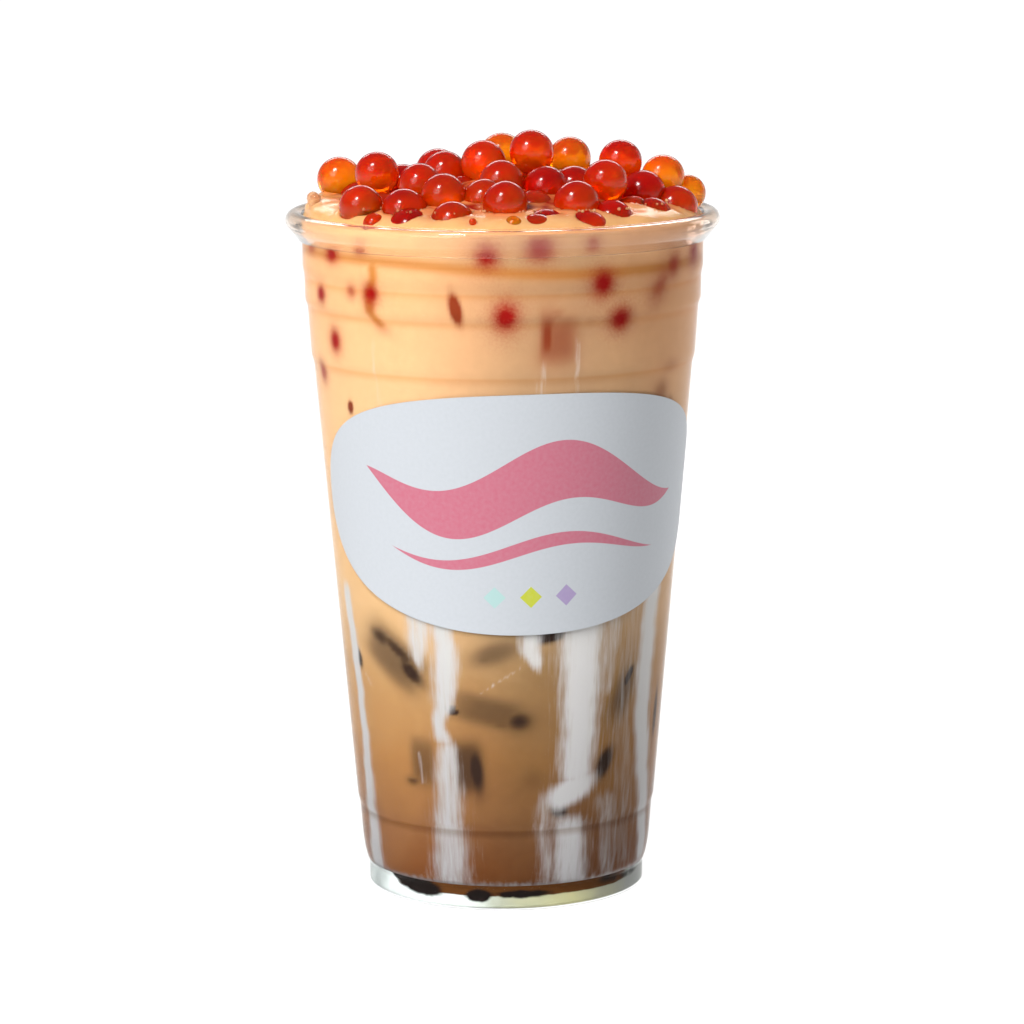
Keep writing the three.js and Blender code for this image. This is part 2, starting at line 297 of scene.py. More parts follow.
@dataclass(frozen=True)
class LayeredTea:
    """Milk tea behind the wall: brown at the foot, peach at the top, with milk run down the wall."""

    name: str = "milk_tea_layered"
    brew: Stops = (
        (0.04, "#61381B"),
        (0.12, "#724C2E"),
        (0.22, "#8A6138"),
        (0.34, "#9D784E"),
        (0.43, "#B79369"),
        (0.52, "#BD9567"),
        (0.70, "#C59B70"),
        (0.83, "#C8986C"),
        (0.91, "#C49266"),
        (0.97, "#D6A878"),
    )
    # Painted shade across the cup from left to right: darkest from the middle to a little right of it,
    # light again at both sides
    painted_shade_across: Stops = (
        (0.28, "#FFFFFF"),
        (0.42, "#EAE9EA"),
        (0.54, "#D5D7DA"),
        (0.69, "#D6D8DE"),
        (0.77, "#E9EAEE"),
        (0.87, "#FFFBFF"),
    )
    painted_shade_reach_mm: float = 45
    # Painted shade: a darker line at each step in the wall, at the ring above the foot and at the stacking
    # steps under the rim
    step_shade_lines: Stops = ((18.4, "#D2C6BC"), (121.6, "#FCF0E1"), (133.8, "#FCF0E1"), (140.2, "#FCEEDC"))
    step_shade_rise_mm: float = 0.5
    step_shade_fall_mm: float = 1.6
    full_height_mm: float = 158
    cloud_mm: float = 16
    cloud_reach: float = 0.10
    grain_mm: float = 2.4
    grain_reach: float = 0.06
    # Milk painted darker towards the bottom, as shade where the light from above falls off
    milk: tuple[str, str] = ("#A29F9F", "#D4D0CC")
    milk_shade_height: float = 0.5
    # Painted shade that darkens the milk towards the left
    milk_painted_shade_across: Stops = ((0.25, "#D6D6D6"), (0.50, "#E4E4E4"), (0.72, "#FFFFFF"))
    # Amber of the juice run, also the colour of the painted shadow under the rim
    amber: str = "#A0601E"
    berry: str = "#800C08"
    jelly: tuple[str, str] = ("#2C1E17", "#762C14")
    jelly_heights: Point = (0.5, 0.8)
    fibre_mm: float = 0.9
    fibre_stretch: float = 0.03
    speckle_mm: float = 0.55
    roughness: float = 0.6
    gloss: float = 0.05

    def material(self) -> bpy.types.Material:
        """Makes the tea, which takes the drink's stains, and painted light and shade, as attributes.

        Returns:
            The material.
        """
        shader = Shader(self.name)
        place = shader.object_place()
        cloud = shader.noise(place, per_mm(self.cloud_mm), detail=4.0, Distortion=0.8)
        up, half = shader.axis(place, "Z"), self.cloud_reach / 2
        level = shader.span(up, 0, self.full_height_mm * MM, (-half, 1 - half))
        drifted = shader.calc("MULTIPLY_ADD", cloud, self.cloud_reach, level)
        side = self.painted_shade_reach_mm * MM
        across = shader.span(shader.axis(place, "X"), -side, side)
        grain = shader.noise(place, per_mm(self.grain_mm), detail=3.0)
        body = shader.valued(shader.ramp(drifted, self.brew), grain, self.grain_reach)
        # Painted shade, darker from the middle to a little right of it
        body = shader.shaded(body, shader.ramp(across, self.painted_shade_across))
        drawn = shader.add("Mapping", {"Vector": place, "Scale": (1.0, 1.0, self.fibre_stretch)})
        fibre = shader.noise(drawn, per_mm(self.fibre_mm), detail=4.0, Roughness=0.6)
        speckle = shader.noise(place, per_mm(self.speckle_mm))
        jelly = shader.mix(shader.span(drifted, *self.jelly_heights), *self.jelly)
        # Painted shade: the milk darker towards the bottom and towards the left
        milk = shader.mix(shader.span(level, 0, self.milk_shade_height), *self.milk)
        milk = shader.shaded(milk, shader.ramp(across, self.milk_painted_shade_across))
        layers = (
            Layer(StainAndLight.AMBER_AND_SHADOW, self.amber, cloud, fray=0.25, start=0.0, full=1.0),
            Layer(StainAndLight.JELLY, jelly, cloud, fray=0.12, start=0.04, full=0.80),
            Layer(StainAndLight.BERRY, self.berry, speckle, fray=0.30, start=0.10, full=0.95),
            Layer(StainAndLight.MILK, milk, fibre, fray=0.70, start=0.16, full=0.92),
        )
        for layer in layers:
            body = self._laid(shader, body, layer)
        # Painted shade along the steps in the wall
        step_shade = shader.ramp(shader.span(up, 0, self.full_height_mm * MM), self._step_shade_stops())
        colour = shader.shaded(body, step_shade)
        tea = shader.principled(Base_Color=colour, Roughness=self.roughness, Specular_IOR_Level=self.gloss)
        return shader.finish(tea)

    def _laid(self, shader: Shader, body: Socket, layer: Layer) -> Socket:
        """Lays a stain over the tea.

        Args:
            shader: The material.
            body: The colour so far.
            layer: The stain.

        Returns:
            The stained colour.
        """
        share = shader.share(layer.stain)
        edge = shader.calc("MULTIPLY_ADD", layer.noise, layer.fray, -layer.fray / 2)
        frayed = shader.calc("ADD", share, edge)
        cover = shader.span(frayed, layer.start, layer.full, smooth=True)
        if layer.stain is StainAndLight.AMBER_AND_SHADOW:
            # The amber and the painted rim shadow start at once, so they are held to their own share and
            # leave bare tea bare
            cover = shader.calc("MULTIPLY", cover, share, clamp=True)
        return shader.mix(cover, body, layer.colour)

    def _step_shade_stops(self) -> list[tuple[float, str]]:
        """Spreads the steps in the wall into a ramp's stops, each a thin line of painted shade that fades
        below it.

        Returns:
            Shares of the height and their tones, from the foot up.
        """
        stops = []
        for height, tone in self.step_shade_lines:
            marks = (height - self.step_shade_fall_mm, height, height + self.step_shade_rise_mm)
            stops += zip((z / self.full_height_mm for z in marks), ("#FFFFFF", tone, "#FFFFFF"))
        return stops


@dataclass(frozen=True)
class FoamyCream:
    """Cream on top of the tea: wet and glossy, pitted by foam, with juice and a painted red glow round the
    pearls.
    """

    name: str = "milk_cream_top"
    cream: str = "#D69458"
    pale: str = "#E2B47C"
    # Juice, and the painted red glow of light through the pearls
    juice: str = "#CB6438"
    swirl_mm: float = 8
    foam_mm: float = 0.9
    foam_depth_mm: float = 0.12
    foam_patches: Point = (0.45, 0.7)
    glow_reach_mm: float = 2

    def material(self) -> bpy.types.Material:
        """Makes the cream.

        Returns:
            The material.
        """
        shader = Shader(self.name)
        place = shader.object_place()
        swirl = shader.noise(place, per_mm(self.swirl_mm), detail=3.0, Distortion=1.5)
        cream = shader.mix(swirl, self.cream, self.pale)
        foam = shader.add("TexVoronoi", {"Vector": place, "Scale": per_mm(self.foam_mm)}, "Distance")
        patches = shader.span(swirl, *self.foam_patches)
        top = shader.principled(
            Base_Color=shader.mix(shader.share(StainAndLight.JUICE_AND_GLOW), cream, self.juice),
            Roughness=0.22,
            IOR=1.36,
            Subsurface_Weight=0.35,
            Subsurface_Radius=(1.0, 0.6, 0.3),
            Subsurface_Scale=self.glow_reach_mm * MM,
            Normal=shader.bump(foam, self.foam_depth_mm, patches),
        )
        return shader.finish(top)


@dataclass(frozen=True)
class FreshMilk:
    """Milk pooled in the foot: white, yellower at the front where tea has got into it, with dark jelly."""

    name: str = "fresh_milk"
    # Painted shade, with a yellower tint right of the middle: the milk is brightest left of the middle and
    # darker towards both ends and to the right
    across: Stops = (
        (0.03, "#8C918E"),
        (0.09, "#A8ADAA"),
        (0.18, "#D2D6D3"),
        (0.32, "#CCD2CC"),
        (0.48, "#999B88"),
        (0.72, "#B2AE82"),
        (0.96, "#8E8F8A"),
    )
    half_width_mm: float = 32
    stains: tuple[tuple[StainAndLight, str], ...] = ((StainAndLight.AMBER_AND_SHADOW, "#4C2C11"), (StainAndLight.JELLY, "#140E0C"))
    swirl_mm: float = 13
    swirl_reach: float = 0.24
    ragged_mm: float = 2.2
    ragged_reach: float = 0.5
    stain_edge: Point = (0.55, 0.95)

    def material(self) -> bpy.types.Material:
        """Makes the milk.

        Returns:
            The material.
        """
        shader = Shader(self.name)
        place = shader.object_place()
        swirl = shader.noise(place, per_mm(self.swirl_mm), Distortion=1.0)
        side = self.half_width_mm * MM
        across = shader.span(shader.axis(place, "X"), -side, side)
        drift = shader.calc("MULTIPLY_ADD", swirl, self.swirl_reach, -self.swirl_reach / 2)
        # Painted shade across the milk, darker towards the sides
        milk = shader.ramp(shader.calc("ADD", across, drift), self.across)
        ragged = shader.noise(place, per_mm(self.ragged_mm), detail=3.0)
        for stain, colour in self.stains:
            frayed = shader.calc("MULTIPLY_ADD", ragged, self.ragged_reach, shader.share(stain))
            milk = shader.mix(shader.span(frayed, *self.stain_edge, smooth=True), milk, colour)
        return shader.finish(shader.principled(Base_Color=milk, Roughness=0.5, Specular_IOR_Level=0.05))


@dataclass(frozen=True)
class AlginateJelly:
    """Popping pearl of alginate jelly: a wet clear skin round red juice that glows where light gets in."""

    name: str = "alginate_jelly_red"
    # From pearls painted dark as shade, through plain red, to pearls painted orange as glow
    tones: Stops = ((0.0, "#D61000"), (0.4, "#F24A00"), (0.75, "#FF7406"), (1.0, "#FF960C"))
    clear_share: float = 0.66
    cloudiness: float = 0.16
    ior: float = 1.36
    glow_reach_mm: float = 4
    mottle_mm: float = 3
    mottle_reach: float = 0.16

    def material(self) -> bpy.types.Material:
        """Makes the jelly, which takes each pearl's tone, with painted glow and painted shade in it, as an
        attribute.

        Returns:
            The material.
        """
        shader = Shader(self.name)
        mottle = shader.noise(shader.object_place(), per_mm(self.mottle_mm))
        share = shader.calc("MULTIPLY_ADD", mottle, self.mottle_reach, shader.share(StainAndLight.BLUSH_AND_LIGHT))
        jelly = shader.principled(
            Base_Color=shader.ramp(share, self.tones),
            Roughness=self.cloudiness,
            IOR=self.ior,
            Transmission_Weight=self.clear_share,
            Subsurface_Weight=1.0,
            Subsurface_Radius=(1.0, 0.3, 0.1),
            Subsurface_Scale=self.glow_reach_mm * MM,
            Specular_IOR_Level=0.1,
            Coat_Weight=0.28,
            Coat_Roughness=0.1,
            Coat_IOR=1.4,
        )
        return shader.finish(jelly)


@dataclass(frozen=True)
class PatchyWet:
    """A wet skin of two colours in patches."""

    name: str
    stops: Stops
    patch_mm: float
    roughness: float
    ior: float
    detail: float = 2.0
    cover: float = 1.0

    def material(self) -> bpy.types.Material:
        """Makes the skin.

        Returns:
            The material.
        """
        shader = Shader(self.name)
        patch = shader.noise(shader.object_place(), per_mm(self.patch_mm), self.detail)
        skin = shader.principled(
            Base_Color=shader.ramp(patch, self.stops),
            Roughness=self.roughness,
            IOR=self.ior,
            Alpha=self.cover,
        )
        return shader.finish(skin)


# Juice and cream between the pearls: dark red in the hollows, peach where the cream rises
PEARL_JUICE = PatchyWet(
    "pearl_juice", ((0.45, "#8E1206"), (0.68, "#E08A50")), patch_mm=7, detail=3.0, roughness=0.15, ior=1.36
)
# Film of a small bubble: a wet glint over a thin coat of cream, pinker on some bubbles than others
BUBBLE_FILM = PatchyWet(
    "bubble_film", ((0.4, "#E8B684"), (0.65, "#B85A30")), patch_mm=4, roughness=0.06, ior=1.4, cover=0.5
)


@dataclass(frozen=True)
class BrushStroke:
    """A printed wave that tapers to a point at both ends, in millimetres from the label's middle."""

    swing: float
    wavelength: float
    phase: float
    level: float
    half_width: float
    reach: float

    def mask(self, shader: Shader, x: Socket, y: Socket) -> Socket:
        """Works out where the ink lies.

        Args:
            shader: The material.
            x: How far across the label.
            y: How far up it.

        Returns:
            A socket that is above 0 on the stroke.
        """
        turn = shader.calc("MULTIPLY_ADD", x, math.tau / self.wavelength, self.phase)
        middle = shader.calc("MULTIPLY_ADD", shader.calc("SINE", turn), self.swing, self.level)
        away = shader.calc("ABSOLUTE", shader.calc("SUBTRACT", y, middle))
        square = shader.calc("MULTIPLY", x, x)
        taper = shader.calc("MULTIPLY_ADD", square, -1 / self.reach**2, 1.0, clamp=True)
        return shader.calc("SUBTRACT", shader.calc("MULTIPLY", taper, self.half_width), away)


@dataclass(frozen=True)
class Lozenge:
    """A printed diamond, in millimetres from the label's middle."""

    x: float
    y: float
    half_size: float = 2.5

    def mask(self, shader: Shader, x: Socket, y: Socket) -> Socket:
        """Works out where the ink lies.

        Args:
            shader: The material.
            x: How far across the label.
            y: How far up it.

        Returns:
            A socket that is above 0 on the diamond.
        """
        across = shader.calc("ABSOLUTE", shader.calc("SUBTRACT", x, self.x))
        up = shader.calc("ABSOLUTE", shader.calc("SUBTRACT", y, self.y))
        return shader.calc("SUBTRACT", self.half_size, shader.calc("ADD", across, up))


@dataclass(frozen=True)
class LabelPaper:
    """Coated label paper, printed: satin white with a faint fibre, under inks that the fibre breaks up."""

    name: str = "label_paper_printed"
    paper: str = "#B1B5BA"
    fibre_mm: float = 0.9
    fibre_reach: float = 0.05
    fibre_depth_mm: float = 0.02
    fibre_strength: float = 0.15
    ink_edge_mm: float = 0.12
    ink_thinnest: float = 0.86
    ink_fibres: Point = (0.2, 0.8)
    motifs: tuple[tuple[BrushStroke | Lozenge, str], ...] = (
        (BrushStroke(5.0, 56, 0.6, 5.0, 7.0, 40), "#B25A6E"),
        (BrushStroke(3.0, 56, 0.6, -8.5, 1.6, 33), "#B25A6E"),
        (Lozenge(-8, -18.5), "#9DBEBB"),
        (Lozenge(0, -18.5), "#AFB50D"),
        (Lozenge(8, -18.5), "#9583AB"),
    )

    def material(self, width_mm: float) -> bpy.types.Material:
        """Makes the printed paper.

        Args:
            width_mm: The label's width, which its UV map runs over.

        Returns:
            The material.
        """
        shader = Shader(self.name)
        flat = shader.add("UVMap", {"uv_map": "flat"})
        middle, size = (-width_mm / 2, -width_mm / 2, 0.0), (width_mm, width_mm, 1.0)
        spot = shader.add("Mapping", {"Vector": flat, "Location": middle, "Scale": size})
        x, y = shader.axis(spot, "X"), shader.axis(spot, "Y")
        fibre = shader.noise(spot, 1 / self.fibre_mm, detail=4.0)
        laid = shader.span(fibre, *self.ink_fibres, (self.ink_thinnest, 1.0))
        sheet = shader.valued(self.paper, fibre, self.fibre_reach)
        for motif, ink in self.motifs:
            cover = shader.span(motif.mask(shader, x, y), 0, self.ink_edge_mm)
            sheet = shader.mix(shader.calc("MULTIPLY", cover, laid), sheet, ink)
        normal = shader.bump(fibre, self.fibre_depth_mm, self.fibre_strength)
        return shader.finish(shader.principled(Base_Color=sheet, Roughness=0.5, Normal=normal))


@dataclass(frozen=True)
class StudioFloor:
    """Matt white studio floor, lit almost to white."""

    name: str = "studio_floor"
    paint: str = "#606060"
    glow: float = 1.0

    def material(self) -> bpy.types.Material:
        """Makes the floor.

        Returns:
            The material.
        """
        shader = Shader(self.name)
        floor = shader.principled(
            Base_Color=self.paint,
            Roughness=0.9,
            Specular_IOR_Level=0.0,
            Emission_Color="#FFFFFF",
            Emission_Strength=self.glow,
        )
        return shader.finish(floor)


# Profile and mesh helpers


def bend(start: Point, pull: Point, end: Point, steps: int) -> list[Point]:
    """Samples a quadratic curve.

    Args:
        start: Where it starts.
        pull: The point that pulls it.
        end: Where it ends.
        steps: How many straight steps it takes.

    Returns:
        Its points, both ends included.
    """
    shares = np.linspace(0, 1, steps + 1)
    return [
        tuple((1 - t) ** 2 * np.array(start) + 2 * t * (1 - t) * np.array(pull) + t * t * np.array(end))
        for t in shares
    ]


def softened(line: Sequence[Point], reach: float, steps: int) -> list[Point]:
    """Rounds the corners of a line.

    Args:
        line: Its points.
        reach: How far from a corner the rounding starts, at most.
        steps: How many straight steps each corner takes.

    Returns:
        The points of the rounded line.
    """
    points = [np.array(p) for p in line]
    soft = [tuple(points[0])]
    for before, corner, after in zip(points, points[1:], points[2:]):
        back, on = before - corner, after - corner
        start = corner + back * min(CORNER_SHARE, reach / np.linalg.norm(back))
        end = corner + on * min(CORNER_SHARE, reach / np.linalg.norm(on))
        soft += bend(tuple(start), tuple(corner), tuple(end), steps)
    return [*soft, tuple(points[-1])]


def shifted(line: Sequence[Point], distance: float) -> list[Point]:
    """Moves a line sideways, to its left as it runs, with mitred corners.

    Args:
        line: Its points.
        distance: How far to move it.

    Returns:
        The moved points.
    """
    points = np.array(line)
    along = np.diff(points, axis=0)
    along /= np.linalg.norm(along, axis=1)[:, None]
    normals = np.stack([-along[:, 1], along[:, 0]], axis=1)
    before, after = np.vstack([normals[:1], normals]), np.vstack([normals, normals[-1:]])
    mitre = before + after
    mitre /= np.linalg.norm(mitre, axis=1)[:, None]
    reach = distance / np.sum(mitre * after, axis=1)
    return [tuple(p) for p in points + mitre * reach[:, None]]


def evened(line: Sequence[Point], spacing: float) -> list[Point]:
    """Spreads points evenly along a line.

    Args:
        line: Its points.
        spacing: The distance between the new points, at most.

    Returns:
        The new points, both ends included.
    """
    points = np.array(line)
    run = np.concatenate([[0], np.cumsum(np.linalg.norm(np.diff(points, axis=0), axis=1))])
    marks = np.linspace(0, run[-1], math.ceil(run[-1] / spacing) + 1)
    return list(zip(np.interp(marks, run, points[:, 0]), np.interp(marks, run, points[:, 1])))


def spun(profile: Iterable[Point], steps: int) -> bmesh.types.BMesh:
    """Spins a profile about Z, as a narrow wedge that is copied on until it goes all the way round.

    Args:
        profile: Points of (radius, height) in millimetres, from the axis and back to it.
        steps: How many steps go round, a multiple of the wedges.

    Returns:
        The closed mesh, with its faces pointing out.
    """
    bm = bmesh.new()
    verts = [bm.verts.new((r * MM, 0, z * MM)) for r, z in profile]
    edges = [bm.edges.new(pair) for pair in zip(verts, verts[1:])]
    wedge = math.tau / 2**DOUBLINGS
    bmesh.ops.spin(
        bm, geom=verts + edges, cent=(0, 0, 0), axis=(0, 0, 1), angle=wedge, steps=steps // 2**DOUBLINGS
    )
    for _ in range(DOUBLINGS):
        copy = bmesh.ops.duplicate(bm, geom=bm.verts[:] + bm.edges[:] + bm.faces[:])["geom"]
        moved = [item for item in copy if isinstance(item, bmesh.types.BMVert)]
        bmesh.ops.rotate(bm, verts=moved, cent=(0, 0, 0), matrix=Matrix.Rotation(wedge, 3, "Z"))
        wedge *= 2
    bmesh.ops.remove_doubles(bm, verts=bm.verts, dist=WELD * MM)
    bmesh.ops.dissolve_degenerate(bm, edges=bm.edges, dist=WELD * MM)
    bmesh.ops.recalc_face_normals(bm, faces=bm.faces)
    return bm


def mesh_of(name: str, bm: bmesh.types.BMesh) -> bpy.types.Mesh:
    """Turns a bmesh into a mesh and frees it.

    Args:
        name: The mesh's name.
        bm: The bmesh.

    Returns:
        The mesh.
    """
    mesh = bpy.data.meshes.new(name)
    bm.to_mesh(mesh)
    bm.free()
    return mesh


def joined_balls(name: str, places: Sequence[Matrix], subdivisions: int) -> bpy.types.Mesh:
    """Joins many balls into one mesh.

    Args:
        name: The mesh's name.
        places: Each ball's place, turn and size, in metres.
        subdivisions: How finely each ball is split.

    Returns:
        The mesh, whose points run ball by ball.
    """
    bm = bmesh.new()
    bmesh.ops.create_icosphere(bm, subdivisions=subdivisions, radius=1.0)
    ball = np.array([(*vert.co, 1.0) for vert in bm.verts])
    corners = np.array([[vert.index for vert in face.verts] for face in bm.faces])
    bm.free()
    points = np.concatenate([(ball @ np.array(place).T)[:, :3] for place in places])
    faces = np.concatenate([corners + len(ball) * i for i in range(len(places))])
    mesh = bpy.data.meshes.new(name)
    mesh.from_pydata(points.tolist(), [], faces.tolist())
    return mesh


def in_scene(name: str, data: bpy.types.ID) -> bpy.types.Object:
    """Puts a mesh, lamp or camera in the scene.

    Args:
        name: The object's name.
        data: What it shows.

    Returns:
        The object.
    """
    item = bpy.data.objects.new(name, data)
    bpy.context.scene.collection.objects.link(item)
    return item


def as_piece(
    mesh: bpy.types.Mesh, materials: Sequence[bpy.types.Material], slot: Slot, *nodes: Node
) -> bpy.types.Object:
    """Makes a mesh a piece of the object.

    Args:
        mesh: The mesh, whose name the piece takes.
        materials: Its materials, in the order of its faces' numbers.
        slot: The record's finish slot, not used.
        nodes: The solids that it stands for.

    Returns:
        The piece, riding on the part.
    """
    mesh.shade_smooth()
    for material in materials:
        mesh.materials.append(material)
    piece = in_scene(mesh.name, mesh)
    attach(piece, BODY)
    if nodes:
        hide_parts(*(node.value for node in nodes))
    LOG.info("%s: %d faces", piece.name, len(mesh.polygons))
    return piece


def points_of(mesh: bpy.types.Mesh) -> np.ndarray:
    """Reads the mesh's points.

    Args:
        mesh: The mesh.

    Returns:
        Its points in millimetres, one row each.
    """
    flat = np.empty(len(mesh.vertices) * 3, np.float32)
    mesh.vertices.foreach_get("co", flat)
    return flat.reshape(-1, 3).astype(float) / MM


def move_points(mesh: bpy.types.Mesh, points: np.ndarray) -> None:
    """Puts the mesh's points at places in millimetres."""
    mesh.vertices.foreach_set("co", (points * MM).astype(np.float32).ravel())
    mesh.update()


def set_share(mesh: bpy.types.Mesh, stain: StainAndLight, shares: np.ndarray) -> None:
    """Stores a stain's share at each of the mesh's points."""
    attribute = mesh.attributes.new(stain.value, "FLOAT", "POINT")
    attribute.data.foreach_set("value", shares.astype(np.float32))


def azimuth_of(points: np.ndarray) -> np.ndarray:
    """Degrees round from the front of each point, towards the right."""
    return np.degrees(np.arctan2(points[:, 0], -points[:, 1]))


def arc_from(middle: np.ndarray | float, azimuth: np.ndarray, points: np.ndarray) -> np.ndarray:
    """Millimetres along the wall from an azimuth to each point."""
    return np.radians((azimuth - middle + 180) % 360 - 180) * np.hypot(points[:, 0], points[:, 1])


def smooth_step(values: np.ndarray, low: float, high: float) -> np.ndarray:
    """Rises smoothly from 0 at the low value to 1 at the high one."""
    t = np.clip((values - low) / (high - low), 0, 1)
    return t * t * (3 - 2 * t)


# What shows in the drink


# Pitch, shift and size of the waves that a streak wanders by
WANDER_WAVES = ((0.55, 1.0, 1.0), (1.3, 2.0, 0.6))


@dataclass(frozen=True)
class Blot:
    """A soft-edged thing against the wall: a pearl, a piece of jelly or a pool of milk."""

    azimuth: float
    height: float
    width: float
    tall: float
    lean: float = 0.0
    strength: float = 1.0
    hardness: float = 4.0
    square: float = 2.0

    def share(self, azimuth: np.ndarray, points: np.ndarray) -> np.ndarray:
        """Works out how much of the blot shows at each point.

        Args:
            azimuth: Degrees round of each point.
            points: The points in millimetres.

        Returns:
            A share from 0 to 1 at each point.
        """
        across = arc_from(self.azimuth, azimuth, points)
        up = points[:, 2] - self.height
        c, s = math.cos(math.radians(self.lean)), math.sin(math.radians(self.lean))
        wide = np.abs(across * c - up * s) / (self.width / 2)
        high = np.abs(across * s + up * c) / (self.tall / 2)
        q = (wide**self.square + high**self.square) ** (1 / self.square)
        return self.strength / (1 + q**self.hardness)


@dataclass(frozen=True)
class Berry(Blot):
    """A pearl against the wall, whose wide soft edge is lost in the tea."""

    hardness: float = 2.0


@dataclass(frozen=True)
class Streak:
    """Milk that has run down the wall, as places of (azimuth, height, width) from the top down."""

    places: tuple[Place, ...]
    strength: float = 0.95
    hardness: float = 3.0
    fade: float = 3.0
    wander: float = 0.2

    def share(self, azimuth: np.ndarray, points: np.ndarray) -> np.ndarray:
        """Works out how much of the streak shows at each point.

        Args:
            azimuth: Degrees round of each point.
            points: The points in millimetres.

        Returns:
            A share from 0 to 1 at each point.
        """
        turns, heights, widths = np.array(self.places[::-1]).T
        z = points[:, 2]
        middle, width = np.interp(z, heights, turns), np.interp(z, heights, widths)
        waves = (size * np.sin(pitch * z + shift * turns[0]) for pitch, shift, size in WANDER_WAVES)
        across = arc_from(middle, azimuth, points) + self.wander * sum(waves)
        ends = smooth_step(z, heights[0] - self.fade, heights[0] + self.fade)
        ends *= 1 - smooth_step(z, heights[-1] - self.fade, heights[-1] + self.fade)
        return self.strength * ends / (1 + np.abs(across / (width / 2)) ** self.hardness)


# Pearls pressed against the wall near the top
BERRIES = (
    Berry(-57, 147.3, 5.4, 3.8),
    Berry(-71, 148, 6.0, 3.6, strength=0.7),
    Berry(-44, 149.5, 5.0, 3.6, strength=0.8),
    Berry(-4.3, 149, 6.0, 6.0),
    Berry(10.4, 150.4, 6.7, 5.5),
    Berry(26, 151.3, 4.8, 4.1, strength=0.7),
    Berry(-65, 138, 4.6, 4.1),
    Berry(-48.5, 139.7, 4.1, 3.8, strength=0.7),
    Berry(-40.5, 139.6, 4.8, 4.6),
    Berry(29.3, 142.3, 6.2, 6.7),
    Berry(35.7, 134.2, 6.6, 6.0),
    Berry(0.8, 135.6, 6.2, 7.2),
    Berry(-58.7, 128, 5.0, 5.8),
    Berry(-70.5, 120, 5.5, 5.5, strength=0.8),
    Berry(71, 146.7, 8.4, 7.2, strength=0.8),
    Berry(57, 144.6, 6.0, 7.8, lean=38, strength=0.75),
    Berry(51, 140.6, 7.2, 12.0, lean=38, strength=0.65),
)

# Pieces of jelly, brown near the top. Those below are cubes, dark where they touch the wall.
JELLIES = (
    Blot(-13.4, 137.2, 2.6, 7, lean=-14),
    Blot(-14.8, 141.3, 2.4, 4, strength=0.3, hardness=2.5),
    Blot(12.8, 131, 3.4, 10.5, strength=0.75, hardness=2.5, square=4),
    Blot(16.2, 130, 9.6, 11.5, strength=0.56, hardness=3.5, square=4),
    Blot(15, 136, 6, 3.6, strength=0.4, hardness=2.5),
    Blot(25, 134, 6, 3.6, strength=0.25, hardness=2.5),
    Blot(-40.8, 137, 4, 6, strength=0.36, hardness=2.5),
    Blot(-37.6, 132.4, 7, 3.6, lean=25, strength=0.36, hardness=2.5),
    Blot(62, 113.4, 3, 4, strength=0.4, hardness=2.5),
    Blot(56, 116.5, 6.5, 6, strength=0.45, hardness=2.5),
    Blot(60, 122, 9, 4, strength=0.3, hardness=2.5),
    Blot(-54, 113.4, 2, 2.8),
    Blot(-42.5, 57.6, 20, 11.5, lean=33, strength=0.54, hardness=5, square=4),
    Blot(-48, 61.6, 9, 5, lean=20, strength=0.72, hardness=2.5),
    Blot(-35, 54.6, 8.5, 4, lean=40, strength=0.85, hardness=2.5),
    Blot(-40.6, 59.4, 15, 3.6, lean=34, strength=0.75, hardness=2.5),
    Blot(-3.5, 60, 13.5, 6, lean=-18, strength=0.5, hardness=3),
    Blot(-6.8, 58.7, 6, 3.6, strength=0.5, hardness=2.5),
    Blot(15.3, 63.6, 7.5, 2.6, lean=-8),
    Blot(-6, 46.6, 18, 7.6, lean=13, strength=0.5, hardness=5, square=4),
    Blot(5, 44.4, 6, 4.4, strength=0.8, hardness=2.2),
    Blot(-19.8, 46.8, 4.4, 1.5, lean=18, hardness=6),
    Blot(-3, 43.8, 14, 2.2, lean=13, strength=0.5, hardness=2.5),
    Blot(-32, 34, 7, 12, strength=0.48, hardness=5, square=4),
    Blot(-37, 29.2, 4, 2.2, strength=0.6, hardness=2.5),
    Blot(-14, 33.6, 8, 13, lean=-4, strength=0.62, hardness=5, square=4),
    Blot(-10.8, 33, 3.4, 11, lean=-6, strength=0.9, hardness=3),
    Blot(47, 48.5, 7, 14, lean=22, strength=0.52, hardness=3, square=3),
    Blot(49.6, 52.2, 1.8, 5.4, lean=32, strength=0.95),
    Blot(39.7, 33, 4, 7.5, lean=24, strength=0.85),
    Blot(20.8, 23.2, 3.8, 3, lean=25, strength=0.95),
    Blot(-63.2, 55.3, 2.6, 4.6, lean=-20, strength=0.9),
    Blot(73, 41, 2.6, 12, strength=0.7),
    Blot(10, 31, 6, 6, strength=0.28, hardness=2.5),
)

# A run of juice down the wall at the left
AMBER_RUN = Streak(
    (
        (-39.7, 147, 3.4),
        (-39.3, 143.5, 3.2),
        (-41, 139, 3.8),
        (-41, 136, 3.6),
        (-39, 133.6, 3.4),
        (-37, 132, 3.4),
    ),
    strength=0.9,
    fade=1.5,
)

